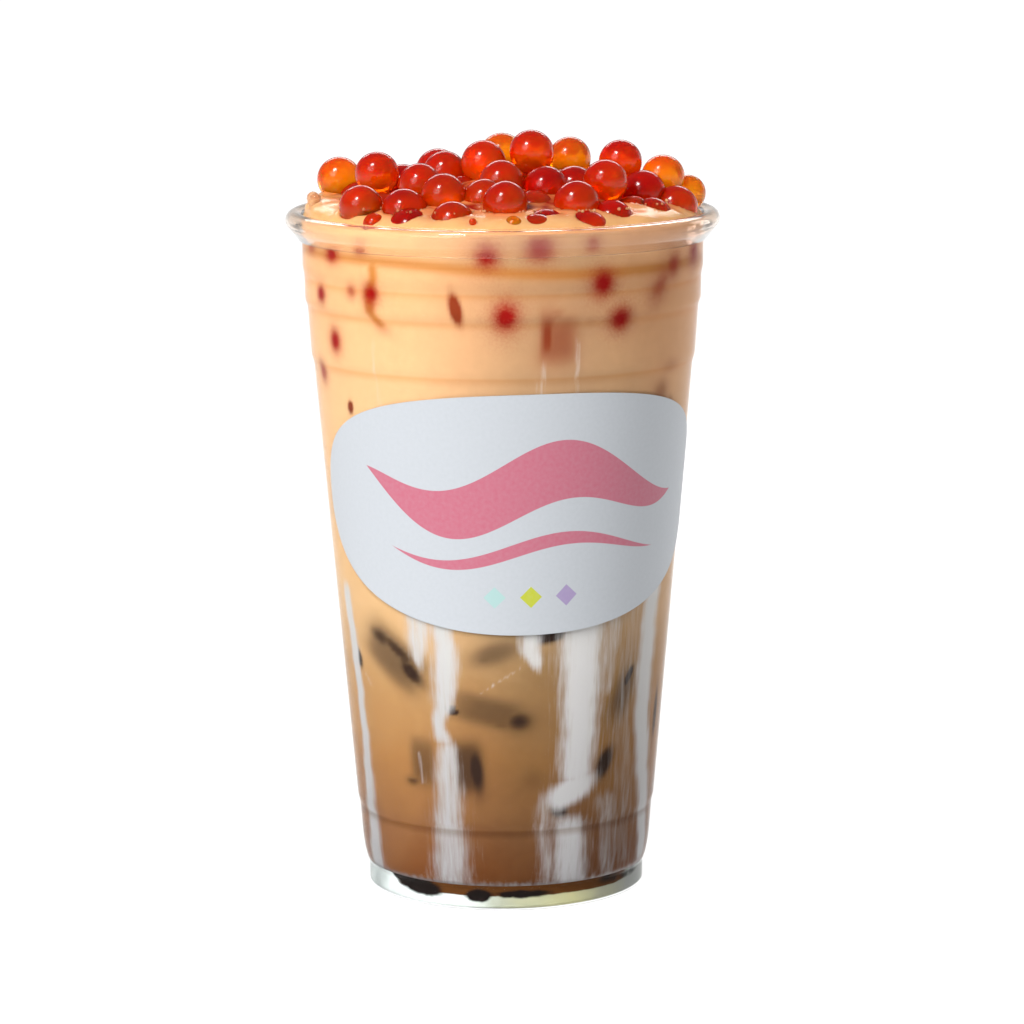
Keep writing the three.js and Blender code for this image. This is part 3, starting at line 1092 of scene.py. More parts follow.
# Milk run down the wall below the label, and the thin films beside it
STREAKS = (
    Streak(
        ((-69.5, 72, 4.4), (-67, 60, 4), (-65, 47, 3.6), (-64.5, 33, 4), (-65.5, 20, 5.4), (-66, 2, 7)),
    ),
    Streak(
        (
            (-21.6, 72, 5),
            (-21.6, 63, 5.2),
            (-20.6, 55, 6.2),
            (-22.4, 49, 5),
            (-24.2, 42.7, 3),
            (-22, 38, 5),
        ),
        strength=0.88,
    ),
    Streak(((-22, 40, 5), (-21.7, 27, 6.6), (-22.4, 19, 8), (-22.6, 2, 9.6)), strength=0.74),
    Streak(((-31, 72, 7), (-31.4, 62, 6), (-30.5, 55.4, 2)), strength=0.75),
    Streak(((27.4, 76, 11), (28, 54.6, 10.4), (28, 44, 9), (27.8, 34, 8.4), (26, 29, 7.6))),
    Streak(((25, 22, 7.4), (25.8, 13, 8.4), (27, 2, 9)), strength=0.85),
    Streak(((14.4, 28, 4), (15.4, 19, 5), (17, 4, 4.6)), strength=0.5, hardness=2.5),
    Streak(((41.8, 27, 8), (44.7, 15, 9), (45.3, 4, 7)), strength=0.45, hardness=2.5),
    Streak(((61.4, 74, 7), (59.8, 57, 7), (60.4, 41, 7), (64.5, 29, 6.6), (68.5, 19, 6), (73, 6, 5))),
    Streak(((40.2, 72, 8), (39.5, 58, 6.4), (38.8, 48, 3)), strength=0.5, hardness=2.5),
    Streak(((50, 76, 18), (49, 50, 16), (51, 30, 14), (55, 6, 12)), strength=0.34, hardness=2),
    Streak(((8.8, 68, 5.4), (9.2, 60, 4.6), (11.5, 55.5, 2)), strength=0.85),
    Streak(((5.5, 56.8, 1), (-3, 53.2, 1.2), (-11, 49.8, 1)), strength=0.45, fade=0.8, wander=0),
    Streak(((-60, 52.5, 1), (-55.5, 49.4, 1.2)), strength=0.5, fade=0.8, wander=0),
    Streak(((-33.6, 36.5, 0.9), (-32.4, 28.6, 1)), strength=0.5, fade=0.8, wander=0),
    Streak(((-41.5, 131, 1), (-41, 120, 1.4), (-40.5, 112, 1)), strength=0.36),
    Streak(((11.8, 126, 2), (11.4, 119, 2.4), (11, 112, 2)), strength=0.36),
    Streak(((21, 132, 1.4), (22.4, 123, 1.4), (22, 113, 1)), strength=0.36),
)
MILK_POOLS = (
    Blot(25.3, 27.6, 13.5, 6.4, lean=-25),
    Blot(21, 25.5, 7, 5, strength=0.7),
)

# Dark jelly in the milk of the foot
FOOT_JELLIES = (
    Blot(-41, 4.6, 14, 4.4, lean=8),
    Blot(-48.5, 5.6, 7, 2.6),
    Blot(-11.5, 3.4, 6, 3),
    Blot(7, 3.8, 15, 2, strength=0.8),
    Blot(48.5, 4.9, 9.5, 3, strength=0.6),
    Blot(64, 4.6, 11, 2.6, strength=0.6),
)


@dataclass
class BackStains:
    """Stains round the back of the drink, like those in front, from seeded draws."""

    first: float = 95.0
    last: float = 270.0
    berries: int = 16
    berry_sizes: tuple[Place, Place] = ((118, 4, 4), (150, 6, 6))
    berry_strengths: Point = (0.6, 1.0)
    jellies: int = 14
    jelly_sizes: tuple[Place, Place] = ((22, 3, 7), (110, 7, 15))
    jelly_strengths: Point = (0.5, 0.95)
    jelly_lean: float = 60.0
    jelly_hardness: float = 3.0
    streaks: int = 5
    streak_sizes: tuple[Place, Place] = ((55, 4, -5), (105, 9, 5))
    streak_strengths: Point = (0.6, 0.9)
    streak_turn: float = 9.0
    streak_run: tuple[Place, ...] = (
        (0.0, 1.0, 0.3),
        (0.2, 0.9, 1.0),
        (0.7, 0.6, 0.6),
        (1.0, 0.35, 1.0),
        (1.0, 0.03, 1.2),
    )
    streak_fade: float = 8.0

    def draw(self) -> tuple[list[Berry], list[Blot], list[Streak]]:
        """Draws the stains.

        Returns:
            The pearls, the jellies and the streaks.
        """
        rng = np.random.default_rng(SEED)
        least, most = self.berry_sizes
        berries = [
            Berry(
                *rng.uniform((self.first, *least), (self.last, *most)),
                strength=rng.uniform(*self.berry_strengths),
            )
            for _ in range(self.berries)
        ]
        least, most = self.jelly_sizes
        jellies = [
            Blot(
                *rng.uniform((self.first, *least), (self.last, *most)),
                lean=rng.uniform(-self.jelly_lean, self.jelly_lean),
                strength=rng.uniform(*self.jelly_strengths),
                hardness=self.jelly_hardness,
            )
            for _ in range(self.jellies)
        ]
        streaks = []
        for i in range(self.streaks):
            spread = (self.last - self.first) * (i + 0.5) / self.streaks
            turn = self.first + spread + rng.uniform(-self.streak_turn, self.streak_turn)
            top, width, drift = rng.uniform(*self.streak_sizes)
            run = ((turn + drift * way, top * up, width * wide) for way, up, wide in self.streak_run)
            strength = rng.uniform(*self.streak_strengths)
            streaks.append(Streak(tuple(run), strength, fade=self.streak_fade))
        return berries, jellies, streaks


# Sub-assemblies


@dataclass
class Cup:
    """Clear tapered cup: a pushed-up foot, stacking steps under the rim and a hollow rolled rim."""

    height: float = 155.0
    rim_radius: float = 49.0
    foot_radius: float = 31.5
    wall: float = 0.6
    foot_height: float = 5.0
    foot_corner: float = 1.2
    ring_inside: float = 27.5
    push_up_radius: float = 23.5
    push_up_height: float = 2.6
    shoulder_pull: Point = (32.5, 6.4)
    bands: tuple[tuple[Point, Point], ...] = (
        ((33.05, 12.0), (33.6, 18.9)),
        ((34.05, 20.6), (42.85, 120.4)),
        ((43.45, 122.6), (44.2, 133.6)),
        ((44.77, 135.1), (44.85, 140.4)),
        ((45.25, 142.4), (45.3, 150.0)),
    )
    bead_end_degrees: float = -26.0
    skirt_end_gap: float = 0.35
    skirt_end_height: float = 148.9
    corner_reach: float = 0.7
    corner_steps: int = 4
    rim_start: float = 0.05
    curve_steps: int = 10
    steps: int = 192

    @property
    def collar(self) -> Point:
        """Top of the collar, where the bead starts."""
        return self.bands[-1][1]

    def skin(self) -> list[Point]:
        """Draws the underside and outer face of the sheet.

        Returns:
            Points from the axis out, up to the top of the collar.
        """
        r, corner = self.foot_radius, self.foot_corner
        line = [(x, self.push_up_height) for x in (0, self.push_up_radius)]
        line.append((self.ring_inside, 0))
        line += bend((r - corner, 0), (r, 0), (r, corner), self.curve_steps)
        line += bend((r, self.foot_height), self.shoulder_pull, self.bands[0][0], self.curve_steps)
        line += [self.bands[0][1], *(p for band in self.bands[1:] for p in band)]
        return softened(line, self.corner_reach, self.corner_steps)

    def bead(self) -> list[Point]:
        """Draws the inside of the roll, over the top and back down as a skirt.

        Returns:
            Its points, from just above the collar to the skirt's edge.
        """
        across, _ = self.collar
        radius = (self.rim_radius - self.wall - across) / 2
        centre = (across + radius, self.height - self.wall - radius)
        angles = np.radians(np.linspace(180, self.bead_end_degrees, 4 * self.curve_steps))
        roll = [(centre[0] + radius * math.cos(a), centre[1] + radius * math.sin(a)) for a in angles]
        return [*roll, (across + self.skirt_end_gap, self.skirt_end_height)]

    def inside(self, into_wall: float) -> tuple[np.ndarray, np.ndarray]:
        """Draws the inner face of the cup.

        Args:
            into_wall: How far into the wall the line runs.

        Returns:
            Its points from the axis out to the lowest, and from there up to the top of the collar.
        """
        line = np.array(shifted(self.skin(), self.wall - into_wall))
        line[0, 0] = 0.0
        lowest = int(np.argmin(line[:, 1]))
        return line[:lowest], line[lowest:]

    def body_radius(self, height: np.ndarray) -> np.ndarray:
        """Outer radius of the tapered body at each height."""
        (low_r, low_z), (high_r, high_z) = self.bands[1]
        return low_r + (high_r - low_r) * (height - low_z) / (high_z - low_z)

    @property
    def taper(self) -> float:
        """Angle of the tapered body's side, in radians."""
        (low_r, low_z), (high_r, high_z) = self.bands[1]
        return math.atan2(high_r - low_r, high_z - low_z)

    def build(self) -> bpy.types.Object:
        """Builds and dresses the cup.

        Returns:
            The piece.
        """
        outer = [*self.skin(), *self.bead()]
        inner = shifted(outer, self.wall)
        inner[0] = (0.0, inner[0][1])
        bm = spun([*outer, *inner[::-1]], self.steps)
        rim = (self.collar[0] + self.rim_start) * MM
        for face in bm.faces:
            face.material_index = int(face.calc_center_median().xy.length > rim)
        finishes = (ClearPet().material(), RIM_PET.material())
        return as_piece(mesh_of("cup_shell", bm), finishes, Slot.CLEAR_PET, Node.CUP)


@dataclass
class PearlHeap:
    """Heap of popping pearls: the rows that show from the front, then more on a spiral over the mound."""

    rows: tuple[tuple[float, tuple[Point, ...]], ...] = (
        (-35, ((-10.8, 155), (9.5, 153.2))),
        (-33, ((-20.2, 153.3), (0.6, 159.1))),
        (-28, ((-21.4, 157.1), (16.2, 158.7), (23.9, 154.6))),
        (-24, ((-31, 157.6), (-12.9, 160), (-4, 158.9), (6.8, 156.2))),
        (-17, ((-18.2, 161.7), (-0.2, 162.3), (9.6, 160.9), (22.8, 162.4))),
        (-8, ((-28, 163.6), (16, 160.2), (31.4, 159.2), (38.6, 155.8))),
        (-5, ((-4.2, 165.6), (6.6, 168))),
        (1, ((-22.4, 159.9), (-13, 162.9), (26.6, 165.3), (36.2, 161.9))),
        (8, ((-37, 161), (-14.6, 162.8), (0, 166.4), (15.2, 165.4))),
    )
    sunk: tuple[Place, ...] = (
        (-29, -25.5, 153.1),
        (7.4, -38, 152.3),
        (18.4, -35, 152.8),
        (33, -17.5, 153.8),
    )
    droplets: tuple[Ball, ...] = (
        (2.4, -41, 155.4, 1.9),
        (-28, -31.4, 154.6, 2.5),
        (-6.4, -41.6, 156.1, 0.8),
    )
    # Pearls painted oranger and brighter: a painted glow of the light that shines through them
    backlit: tuple[Point, ...] = ((-37, 8), (0, 8), (15.2, 8), (36.2, 1), (42, 5.4), (2.4, -41))
    backlit_blush: float = 0.85
    # Pearls deep in the heap, painted darker as shade
    in_shade: tuple[Point, ...] = (
        (9.6, -17),
        (16, -8),
        (31.4, -8),
        (23.9, -28),
        (9.5, -35),
        (-22.4, 1),
        (-20.2, -33),
    )
    in_shade_blush: float = 0.0
    plain_blush: float = 0.3
    blush_spread: float = 0.1
    # Way across each pearl along which its tone is painted oranger: a painted glow on its lower right,
    # away from the light
    glow: Place = (0.18, -0.1, -0.36)
    pearl_radius: float = 5.0
    small_pearl: Place = (42, 5.4, 157.7)
    small_radius: float = 4.1
    filling_radius: float = 4.7
    layer_count: int = 6
    layer_step: float = 1.5
    layer_reach: float = 38.5
    proud_front: float = 0.0
    sunk_front: float = -26.0
    sunk_depth: float = 4.0
    spiral_places: int = 300
    spacing: float = 8.6
    mound_edge: float = 155.5
    mound_rise: float = 7.5
    mound_reach: float = 42.0
    mound_power: float = 3.0
    mound_back_slope: float = 0.19
    mound_floor: float = 157.0
    core_radius: float = 37.0
    core_floor: float = 152.0
    core_edge: float = 156.6
    core_crown: float = 6.0
    core_rings: int = 24
    core_steps: int = 96
    uneven: float = 0.03
    subdivisions: int = 4
    places: np.ndarray = field(init=False)

    def __post_init__(self) -> None:
        """Settles where the pearls lie, as rows of x, y, z and radius."""
        shown = [(x, y, z, self.pearl_radius) for y, pearls in self.rows for x, z in pearls]
        shown.append((*self.small_pearl, self.small_radius))
        for layer in range(self.layer_count):
            sunk = layer * self.layer_step
            front = self.sunk_front if sunk > self.sunk_depth else self.proud_front
            for centre in self._spiral(sunk):
                if centre[1] > front and all(math.dist(centre, p[:3]) > self.spacing for p in shown):
                    shown.append((*centre, self.filling_radius))
        shown += [*((*centre, self.pearl_radius) for centre in self.sunk), *self.droplets]
        self.places = np.array(shown)

    def _spiral(self, sunk: float) -> Iterable[Place]:
        """Lays places on a sunflower spiral over the mound.

        Args:
            sunk: How deep they lie in the mound.

        Yields:
            Each place.
        """
        for i in range(self.spiral_places):
            radius = (self.layer_reach - sunk) * math.sqrt((i + 0.5) / self.spiral_places)
            x, y = radius * math.cos(i * GOLDEN_ANGLE), radius * math.sin(i * GOLDEN_ANGLE)
            crown = self.mound_rise * (1 - (radius / self.mound_reach) ** self.mound_power)
            mound = self.mound_edge + crown - self.mound_back_slope * max(y, 0)
            yield x, y, max(mound, self.mound_floor) - sunk

    def build(self) -> list[bpy.types.Object]:
        """Builds and dresses the pearls and the core under them.

        Returns:
            The pearls and the core.
        """
        rng = np.random.default_rng(SEED)
        places, blushes_and_light = [], []
        for x, y, z, radius in self.places:
            size = radius * MM * (1 + rng.uniform(-self.uneven, self.uneven, 3))
            turn = Matrix.Rotation(rng.uniform(0, math.tau), 4, rng.normal(size=3))
            place = Matrix.Translation(Vector((x, y, z)) * MM)
            places.append(place @ turn @ Matrix.Diagonal((*size, 1.0)))
            blush = self.plain_blush
            # Backlit pearls get painted glow, and pearls in the heap's shade get painted shade
            if (x, y) in self.backlit:
                blush = self.backlit_blush
            elif (x, y) in self.in_shade:
                blush = self.in_shade_blush
            blushes_and_light.append(blush + rng.uniform(-self.blush_spread, self.blush_spread))
        mesh = joined_balls("pearls", places, self.subdivisions)
        each = len(mesh.vertices) // len(places)
        away = points_of(mesh) - np.repeat(self.places[:, :3], each, axis=0)
        # Painted glow on each pearl's lower right, added to its tone
        shares = np.repeat(blushes_and_light, each) + away @ np.array(self.glow) / self.pearl_radius
        set_share(mesh, StainAndLight.BLUSH_AND_LIGHT, shares)
        pearls = as_piece(mesh, (AlginateJelly().material(),), Slot.PEARLS, Node.PEARL_HEAP)
        return [pearls, self._build_core()]

    def _build_core(self) -> bpy.types.Object:
        """Builds and dresses the juicy mound that the pearls lie on.

        Returns:
            The piece.
        """
        radii = np.linspace(self.core_radius, 0, self.core_rings)
        top = [(r, self.core_edge + self.core_crown * (1 - (r / self.core_radius) ** 2)) for r in radii]
        bm = spun([(0, self.core_floor), (self.core_radius, self.core_floor), *top], self.core_steps)
        mesh = mesh_of("pearl_core", bm)
        points = points_of(mesh)
        lowest = np.minimum(points[:, 2], self.core_edge)
        drop = self.mound_back_slope * np.clip(points[:, 1], 0, None)
        points[:, 2] = np.maximum(points[:, 2] - drop, lowest)
        move_points(mesh, points)
        return as_piece(mesh, (PEARL_JUICE.material(),), Slot.PEARLS, Node.PEARL_HEAP)


@dataclass
class MilkTea:
    """Milk tea from the milk in the foot up to a dome of cream that holds the pearls."""

    cup: Cup
    heap: PearlHeap
    floor: float = 5.8
    edge_top: float = 153.6
    dome_pull: Point = (42.6, 157.3)
    dome_shoulder: Point = (33.0, 157.6)
    dome_top: float = 158.0
    into_wall: float = 0.08
    row: float = 0.95
    ring: float = 0.55
    steps: int = 352
    meniscus: float = 0.45
    meniscus_reach: float = 0.9
    # Juice round each pearl's waterline, with a painted red glow of light through the pearl
    juice_glow_reach: float = 2.4
    ripples: int = 14
    ripple_rise: float = 0.016
    ripple_pitches: Point = (4.5, 13)
    dent_gap: float = 0.12
    dent_margin: float = 0.7
    climb: float = 2.0
    climb_azimuth: float = -92.0
    climb_spread: float = 30.0
    climb_reach: Point = (34, 43)
    dome_steps: int = 12
    dome_margin: float = 0.01
    # Painted highlight along the ledge above the foot, laid in the milk
    ledge_highlight: float = 0.6
    ledge_highlight_heights: Point = (6.2, 7.2)
    # A band of painted shadow under the rim, with painted glow of the pearls under the cream
    rim_shadow_height: float = 147.0
    rim_shadow_dip: float = 2.4
    rim_shadow_fall: Point = (-40, 25)
    rim_shadow_back: Point = (90, 180)
    rim_shadow_width: float = 2.0
    rim_shadow_strength: float = 0.85
    # Strength of the juice and painted glow round the waterlines, and where it fades before the wall
    juice_glow_strength: float = 0.8
    juice_end: Point = (40, 43)
    inner_juice: float = 0.3
    inner_juice_end: Point = (33, 41)

    def side(self) -> list[Point]:
        """Draws the wall side, which reaches just into the cup's wall.

        Returns:
            Points from the floor up to the edge.
        """
        _, rising = self.cup.inside(self.into_wall)
        low, high = np.interp((self.floor, self.edge_top), rising[:, 1], rising[:, 0])
        between = [tuple(p) for p in rising if self.floor < p[1] < self.edge_top]
        return evened([(low, self.floor), *between, (high, self.edge_top)], self.row)

    def dome(self, edge_radius: float) -> list[Point]:
        """Draws the dome from the wall to the axis.

        Args:
            edge_radius: Where it meets the wall.

        Returns:
            Its points, both ends included.
        """
        curve = bend((edge_radius, self.edge_top), self.dome_pull, self.dome_shoulder, self.dome_steps)
        return evened([*curve, (0.0, self.dome_top)], self.ring)

    def build(self) -> bpy.types.Object:
        """Builds, stains and dresses the tea.

        Returns:
            The piece.
        """
        side = self.side()
        profile = [(0.0, self.floor), *side, *self.dome(side[-1][0])[1:]]
        bm = spun(profile, self.steps)
        for face in bm.faces:
            face.material_index = int(face.calc_center_median().z > self.edge_top * MM)
        finishes = (LayeredTea().material(), FoamyCream().material())
        piece = as_piece(mesh_of("milk_tea_body", bm), finishes, Slot.MILK_TEA, Node.MILK_TEA)
        points = points_of(piece.data)
        self._stain_and_light(piece.data, points)
        self._settle(piece.data, points)
        return piece

    def _stain_and_light(self, mesh: bpy.types.Mesh, points: np.ndarray) -> None:
        """Stains the wall side, and paints on it the shadow under the rim and a highlight along the ledge.

        Args:
            mesh: The tea's mesh.
            points: Its points in millimetres.
        """
        azimuth = azimuth_of(points)
        berries, jellies, streaks = BackStains().draw()
        groups = {
            StainAndLight.BERRY: (*BERRIES, *berries),
            StainAndLight.JELLY: (*JELLIES, *jellies),
            StainAndLight.MILK: (*STREAKS, *MILK_POOLS, *streaks),
        }
        for stain, marks in groups.items():
            shares = np.max([mark.share(azimuth, points) for mark in marks], axis=0)
            if stain is StainAndLight.MILK:
                # A painted highlight lies along the ledge above the foot, laid as a thin line of milk
                ledge_glint = 1 - smooth_step(points[:, 2], *self.ledge_highlight_heights)
                shares = np.maximum(shares, self.ledge_highlight * ledge_glint)
            set_share(mesh, stain, shares)
        # A painted shadow of the rim, with a painted orange glow of the pearls under the cream, lies in
        # the amber as a band that dips from the left of the rim to the right
        dip = smooth_step(azimuth, *self.rim_shadow_fall) * (1 - smooth_step(azimuth, *self.rim_shadow_back))
        middle = self.rim_shadow_height - self.rim_shadow_dip * dip
        band = self.rim_shadow_strength * np.exp(-(((points[:, 2] - middle) / self.rim_shadow_width) ** 2))
        set_share(mesh, StainAndLight.AMBER_AND_SHADOW, np.maximum(band, AMBER_RUN.share(azimuth, points)))

    def _settle(self, mesh: bpy.types.Mesh, points: np.ndarray) -> None:
        """Dents the dome under each pearl and draws the cream up round it.

        Args:
            mesh: The tea's mesh.
            points: Its points in millimetres.
        """
        on_dome = points[:, 2] > self.edge_top + self.dome_margin
        x, y, level = points[on_dome].T
        azimuth = azimuth_of(points[on_dome])
        round_left = np.exp(-(((azimuth - self.climb_azimuth) / self.climb_spread) ** 2))
        radius = np.hypot(x, y)
        level = level + self.climb * round_left * smooth_step(radius, *self.climb_reach)
        rng = np.random.default_rng(SEED)
        shortest, longest = self.ripple_pitches
        draws = rng.uniform((0, shortest, 0), (math.pi, longest, math.tau), (self.ripples, 3))
        for way, pitch, phase in draws:
            along = x * math.cos(way) + y * math.sin(way)
            level += self.ripple_rise * math.sqrt(pitch) * np.sin(math.tau * along / pitch + phase)
        lift, spread = np.zeros_like(level), np.zeros_like(level)
        floor = np.full_like(level, np.inf)
        for px, py, pz, pr in self.heap.places:
            away = np.hypot(x - px, y - py)
            half = np.sqrt(np.clip(pr**2 - away**2, 0, None))
            reach = np.sqrt(np.clip(pr**2 - (level - pz) ** 2, 0, None))
            # Round a pearl that is more than half sunk, a ring of level cream keeps its outline smooth
            deep = away < reach - np.where(level > pz, self.dent_margin, 0.0)
            floor = np.where(away < reach, np.minimum(floor, level), floor)
            floor = np.where(deep, np.minimum(floor, pz - half - self.dent_gap), floor)
            waterline = math.sqrt(max(pr**2 - (self.dome_shoulder[1] - pz) ** 2, 0))
            if waterline > 0:
                near = np.exp(-np.abs(away - waterline) / self.meniscus_reach)
                lift = np.maximum(lift, near)
                spread = np.maximum(spread, np.exp(-np.abs(away - waterline) / self.juice_glow_reach))
        points[on_dome, 2] = np.minimum(level + self.meniscus * lift, floor)
        move_points(mesh, points)
        # Juice with painted red glow round the waterlines, and juice over the middle of the dome
        juice = np.zeros(len(points))
        inner = self.inner_juice * (1 - smooth_step(radius, *self.inner_juice_end))
        outer = self.juice_glow_strength * spread * (1 - smooth_step(radius, *self.juice_end))
        juice[on_dome] = np.maximum(outer, inner)
        set_share(mesh, StainAndLight.JUICE_AND_GLOW, juice)


@dataclass
class MilkPool:
    """Milk pooled in the foot, with dark jelly in it."""

    cup: Cup
    top: float = 5.75
    into_wall: float = 0.08
    row: float = 0.4
    steps: int = 288
    brown_heights: Point = (2.7, 3.9)
    brown_middle: float = 4.0
    brown_ends: Point = (46, 64)

    def build(self) -> bpy.types.Object:
        """Builds, stains and dresses the milk.

        Returns:
            The piece.
        """
        bottom, rising = self.cup.inside(self.into_wall)
        edge = np.interp(self.top, rising[:, 1], rising[:, 0])
        line = [tuple(p) for p in (*bottom, *rising) if p[1] < self.top]
        bm = spun([*evened([*line, (edge, self.top)], self.row), (0.0, self.top)], self.steps)
        piece = as_piece(mesh_of("milk_pool", bm), (FreshMilk().material(),), Slot.MILK, Node.MILK_BASE)
        points = points_of(piece.data)
        azimuth = azimuth_of(points)
        jelly = np.max([blot.share(azimuth, points) for blot in FOOT_JELLIES], axis=0)
        set_share(piece.data, StainAndLight.JELLY, jelly)
        ends = smooth_step(np.abs(azimuth - self.brown_middle), *self.brown_ends)
        brown = smooth_step(points[:, 2], *self.brown_heights) * (1 - ends)
        set_share(piece.data, StainAndLight.AMBER_AND_SHADOW, brown)
        return piece


@dataclass
class Froth:
    """Small bubbles round the pearls' waterlines, with a cluster of large ones at the left of the rim."""

    tea: MilkTea
    most_round_a_pearl: int = 18
    small: Point = (0.16, 0.45)
    off_pearl: float = 0.9
    rise: float = 0.3
    cluster_centre: Place = (-42.6, -6.0, 157.2)
    cluster_spread: Place = (1.4, 4.5, 0.8)
    cluster_count: int = 12
    large: Point = (0.8, 1.7)
    subdivisions: int = 2

    def build(self) -> bpy.types.Object:
        """Builds and dresses the bubbles.

        Returns:
            The piece.
        """
        rng = np.random.default_rng(SEED + 1)
        level = self.tea.dome_shoulder[1]
        bubbles = []
        for x, y, z, radius in self.tea.heap.places:
            waterline = radius**2 - (level - z) ** 2
            if waterline <= 0:
                continue
            for _ in range(rng.integers(1, self.most_round_a_pearl)):
                size, turn = rng.uniform(*self.small), rng.uniform(0, math.tau)
                away = math.sqrt(waterline) + self.off_pearl * size
                across, back = away * math.cos(turn), away * math.sin(turn)
                bubbles.append((x + across, y + back, level + self.rise * size, size))
        for _ in range(self.cluster_count):
            centre = np.array(self.cluster_centre) + rng.normal(size=3) * np.array(self.cluster_spread)
            bubbles.append((*centre, rng.uniform(*self.large)))
        edge = self.tea.side()[-1][0]
        places = [
            Matrix.Translation(Vector((x, y, z)) * MM) @ Matrix.Scale(radius * MM, 4)
            for x, y, z, radius in bubbles
            if math.hypot(x, y) < edge - radius
        ]
        mesh = joined_balls("froth", places, self.subdivisions)
        return as_piece(mesh, (BUBBLE_FILM.material(),), Slot.MILK_TEA)


@dataclass
class Label:
    """Full oval paper label rolled on to the tapered body, a little to the right of the front."""

    cup: Cup
    width: float = 114.0
    height: float = 54.3
    fullness: float = 2.2
    thickness: float = 0.2
    off_wall: float = 0.04
    middle: float = 91.4
    turn_degrees: float = 8.4
    tilt_degrees: float = 0.56
    columns: int = 160
    rows: int = 24
    sharp_degrees: float = 40.0

    def build(self) -> bpy.types.Object:
        """Builds and dresses the label.

        Returns:
            The piece.
        """
        bm = bmesh.new()
        flat = bm.loops.layers.uv.new("flat")
        bmesh.ops.create_grid(bm, x_segments=self.columns, y_segments=self.rows, size=1.0)
        power = 2 / self.fullness
        for vert in bm.verts:
            along, opening = math.sin(vert.co.x * math.pi / 2), math.cos(vert.co.x * math.pi / 2)
            across = self.width / 2 * math.copysign(abs(along) ** power, along)
            vert.co = Vector((across, self.height / 2 * vert.co.y * max(opening, 0.0) ** power, 0))
        bmesh.ops.remove_doubles(bm, verts=bm.verts, dist=WELD)
        bmesh.ops.dissolve_degenerate(bm, edges=bm.edges, dist=WELD)
        for face in bm.faces:
            for loop in face.loops:
                loop[flat].uv = loop.vert.co.xy / self.width + Vector((0.5, 0.5))
        tilt = Matrix.Rotation(math.radians(self.tilt_degrees), 3, "Z")
        taper = self.cup.taper
        from_apex = self.cup.body_radius(self.middle) / math.sin(taper)
        for vert in bm.verts:
            across, up, _ = tilt @ vert.co
            angle = math.radians(self.turn_degrees) + math.atan2(across, from_apex + up) / math.sin(taper)
            height = self.middle + (math.hypot(across, from_apex + up) - from_apex) * math.cos(taper)
            radius = self.cup.body_radius(height) + self.off_wall
            vert.co = Vector((radius * math.sin(angle), -radius * math.cos(angle), height)) * MM
        bmesh.ops.recalc_face_normals(bm, faces=bm.faces)
        if sum(face.normal.y for face in bm.faces) > 0:
            bmesh.ops.reverse_faces(bm, faces=bm.faces)
        bmesh.ops.solidify(bm, geom=bm.faces, thickness=-self.thickness * MM)
        paper = LabelPaper().material(self.width)
        piece = as_piece(mesh_of("label_paper", bm), (paper,), Slot.LABEL_PAPER, Node.LABEL)
        piece.data.set_sharp_from_angle(angle=math.radians(self.sharp_degrees))
        return piece


@dataclass(frozen=True)
class Softbox:
    """A lit panel that faces the cup, in metres and watts. Glossy things reflect it where it glints."""

    name: str
    place: Place
    size: Point
    power: float
    glints: bool = True


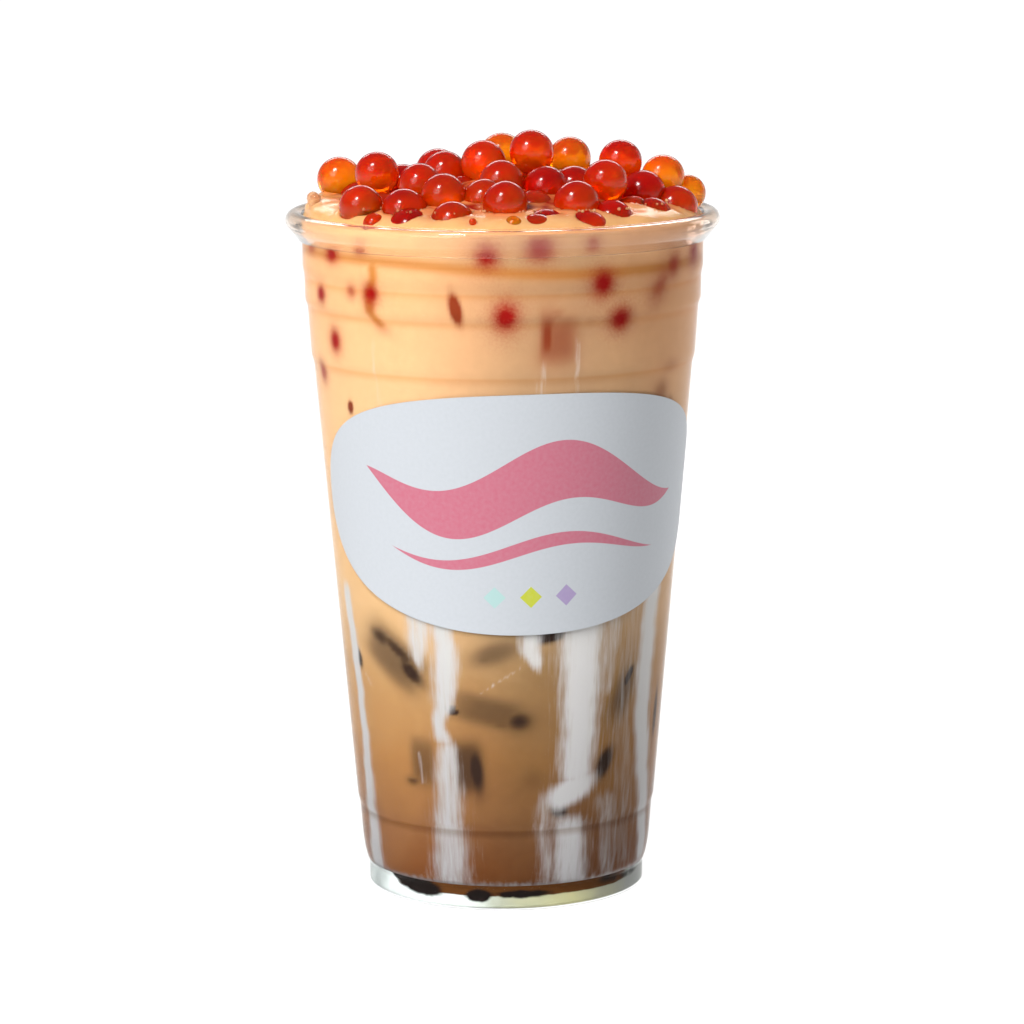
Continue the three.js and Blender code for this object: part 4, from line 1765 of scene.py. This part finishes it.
@dataclass
class Studio:
    """Pale floor, soft light and a camera at eye height in front."""

    floor_size: float = 9.0
    floor_squares: int = 8
    key_from: Place = (-0.52, -0.69, 0.50)
    key_strength: float = 2.4
    key_spread_degrees: float = 30.0
    softboxes: tuple[Softbox, ...] = (
        Softbox("spark", (-0.49, -0.71, 1.25), (0.26, 0.26), 13.0),
        Softbox("back", (0.0, 1.1, 0.75), (1.2, 0.18), 3.5),
        Softbox("right_rim", (0.85, 0.85, 0.35), (0.3, 0.6), 5.0, glints=False),
    )
    lit_place: Place = (0.0, 0.0, 0.09)
    sky_strength: float = 0.18
    horizon_strength: float = 0.8
    horizon_reach: float = 0.26
    camera_place: Place = (1.77, -958.0, 247.7)
    camera_pitch_degrees: float = 9.61
    camera_roll_degrees: float = -0.30
    lens: float = 149.73

    def build(self) -> None:
        """Builds the floor, the lamps, the world and the camera."""
        self._build_floor()
        self._build_key()
        for softbox in self.softboxes:
            self._build_softbox(softbox)
        self._build_world()
        self._build_camera()

    def _build_floor(self) -> None:
        """Lays the floor."""
        bm = bmesh.new()
        squares = self.floor_squares
        bmesh.ops.create_grid(bm, x_segments=squares, y_segments=squares, size=self.floor_size)
        mesh = mesh_of("floor", bm)
        mesh.materials.append(StudioFloor().material())
        in_scene("floor", mesh)

    def _build_key(self) -> None:
        """Adds the key, a wide distant lamp that glossy things don't reflect."""
        data = bpy.data.lights.new("key", "SUN")
        data.energy = self.key_strength
        data.angle = math.radians(self.key_spread_degrees)
        lamp = in_scene("key", data)
        lamp.rotation_euler = Vector(self.key_from).to_track_quat("Z", "Y").to_euler()
        lamp.visible_glossy = False

    def _build_softbox(self, softbox: Softbox) -> None:
        """Adds a softbox.

        Args:
            softbox: What it is like.
        """
        data = bpy.data.lights.new(softbox.name, "AREA")
        data.shape = "RECTANGLE"
        data.size, data.size_y = softbox.size
        data.energy = softbox.power
        lamp = in_scene(softbox.name, data)
        lamp.visible_glossy = softbox.glints
        lamp.location = softbox.place
        away = Vector(softbox.place) - Vector(self.lit_place)
        lamp.rotation_euler = away.to_track_quat("Z", "Y").to_euler()

    def _build_world(self) -> None:
        """Surrounds the studio with a pale horizon that fades upwards."""
        world = bpy.data.worlds.new("studio")
        world.use_nodes = True
        tree = world.node_tree
        background = tree.nodes["Background"]
        background.inputs["Color"].default_value = linear("#FFFFFF")
        ways = add_node(tree, "TexCoord", {}).outputs["Generated"]
        up = add_node(tree, "SeparateXYZ", {0: ways}).outputs["Z"]
        tones = {"To Min": self.horizon_strength, "To Max": self.sky_strength}
        fade = add_node(tree, "MapRange", {"Value": up, "From Max": self.horizon_reach, **tones})
        tree.links.new(fade.outputs[0], background.inputs["Strength"])
        bpy.context.scene.world = world
        bpy.context.scene.view_settings.view_transform = "Standard"

    def _build_camera(self) -> None:
        """Sets up the camera."""
        data = bpy.data.cameras.new("camera")
        data.lens = self.lens
        camera = in_scene("camera", data)
        pitch = Matrix.Rotation(math.radians(90 - self.camera_pitch_degrees), 4, "X")
        roll = Matrix.Rotation(math.radians(self.camera_roll_degrees), 4, "Z")
        camera.matrix_world = Matrix.Translation(Vector(self.camera_place) * MM) @ pitch @ roll
        bpy.context.scene.camera = camera


def main() -> None:
    """Builds the bubble tea and its studio."""
    logging.basicConfig(level=logging.INFO, format="%(name)s %(message)s")
    Studio().build()
    cup = Cup()
    heap = PearlHeap()
    tea = MilkTea(cup, heap)
    cup.build()
    MilkPool(cup).build()
    tea.build()
    heap.build()
    Froth(tea).build()
    Label(cup).build()


if __name__ == "__main__":
    main()
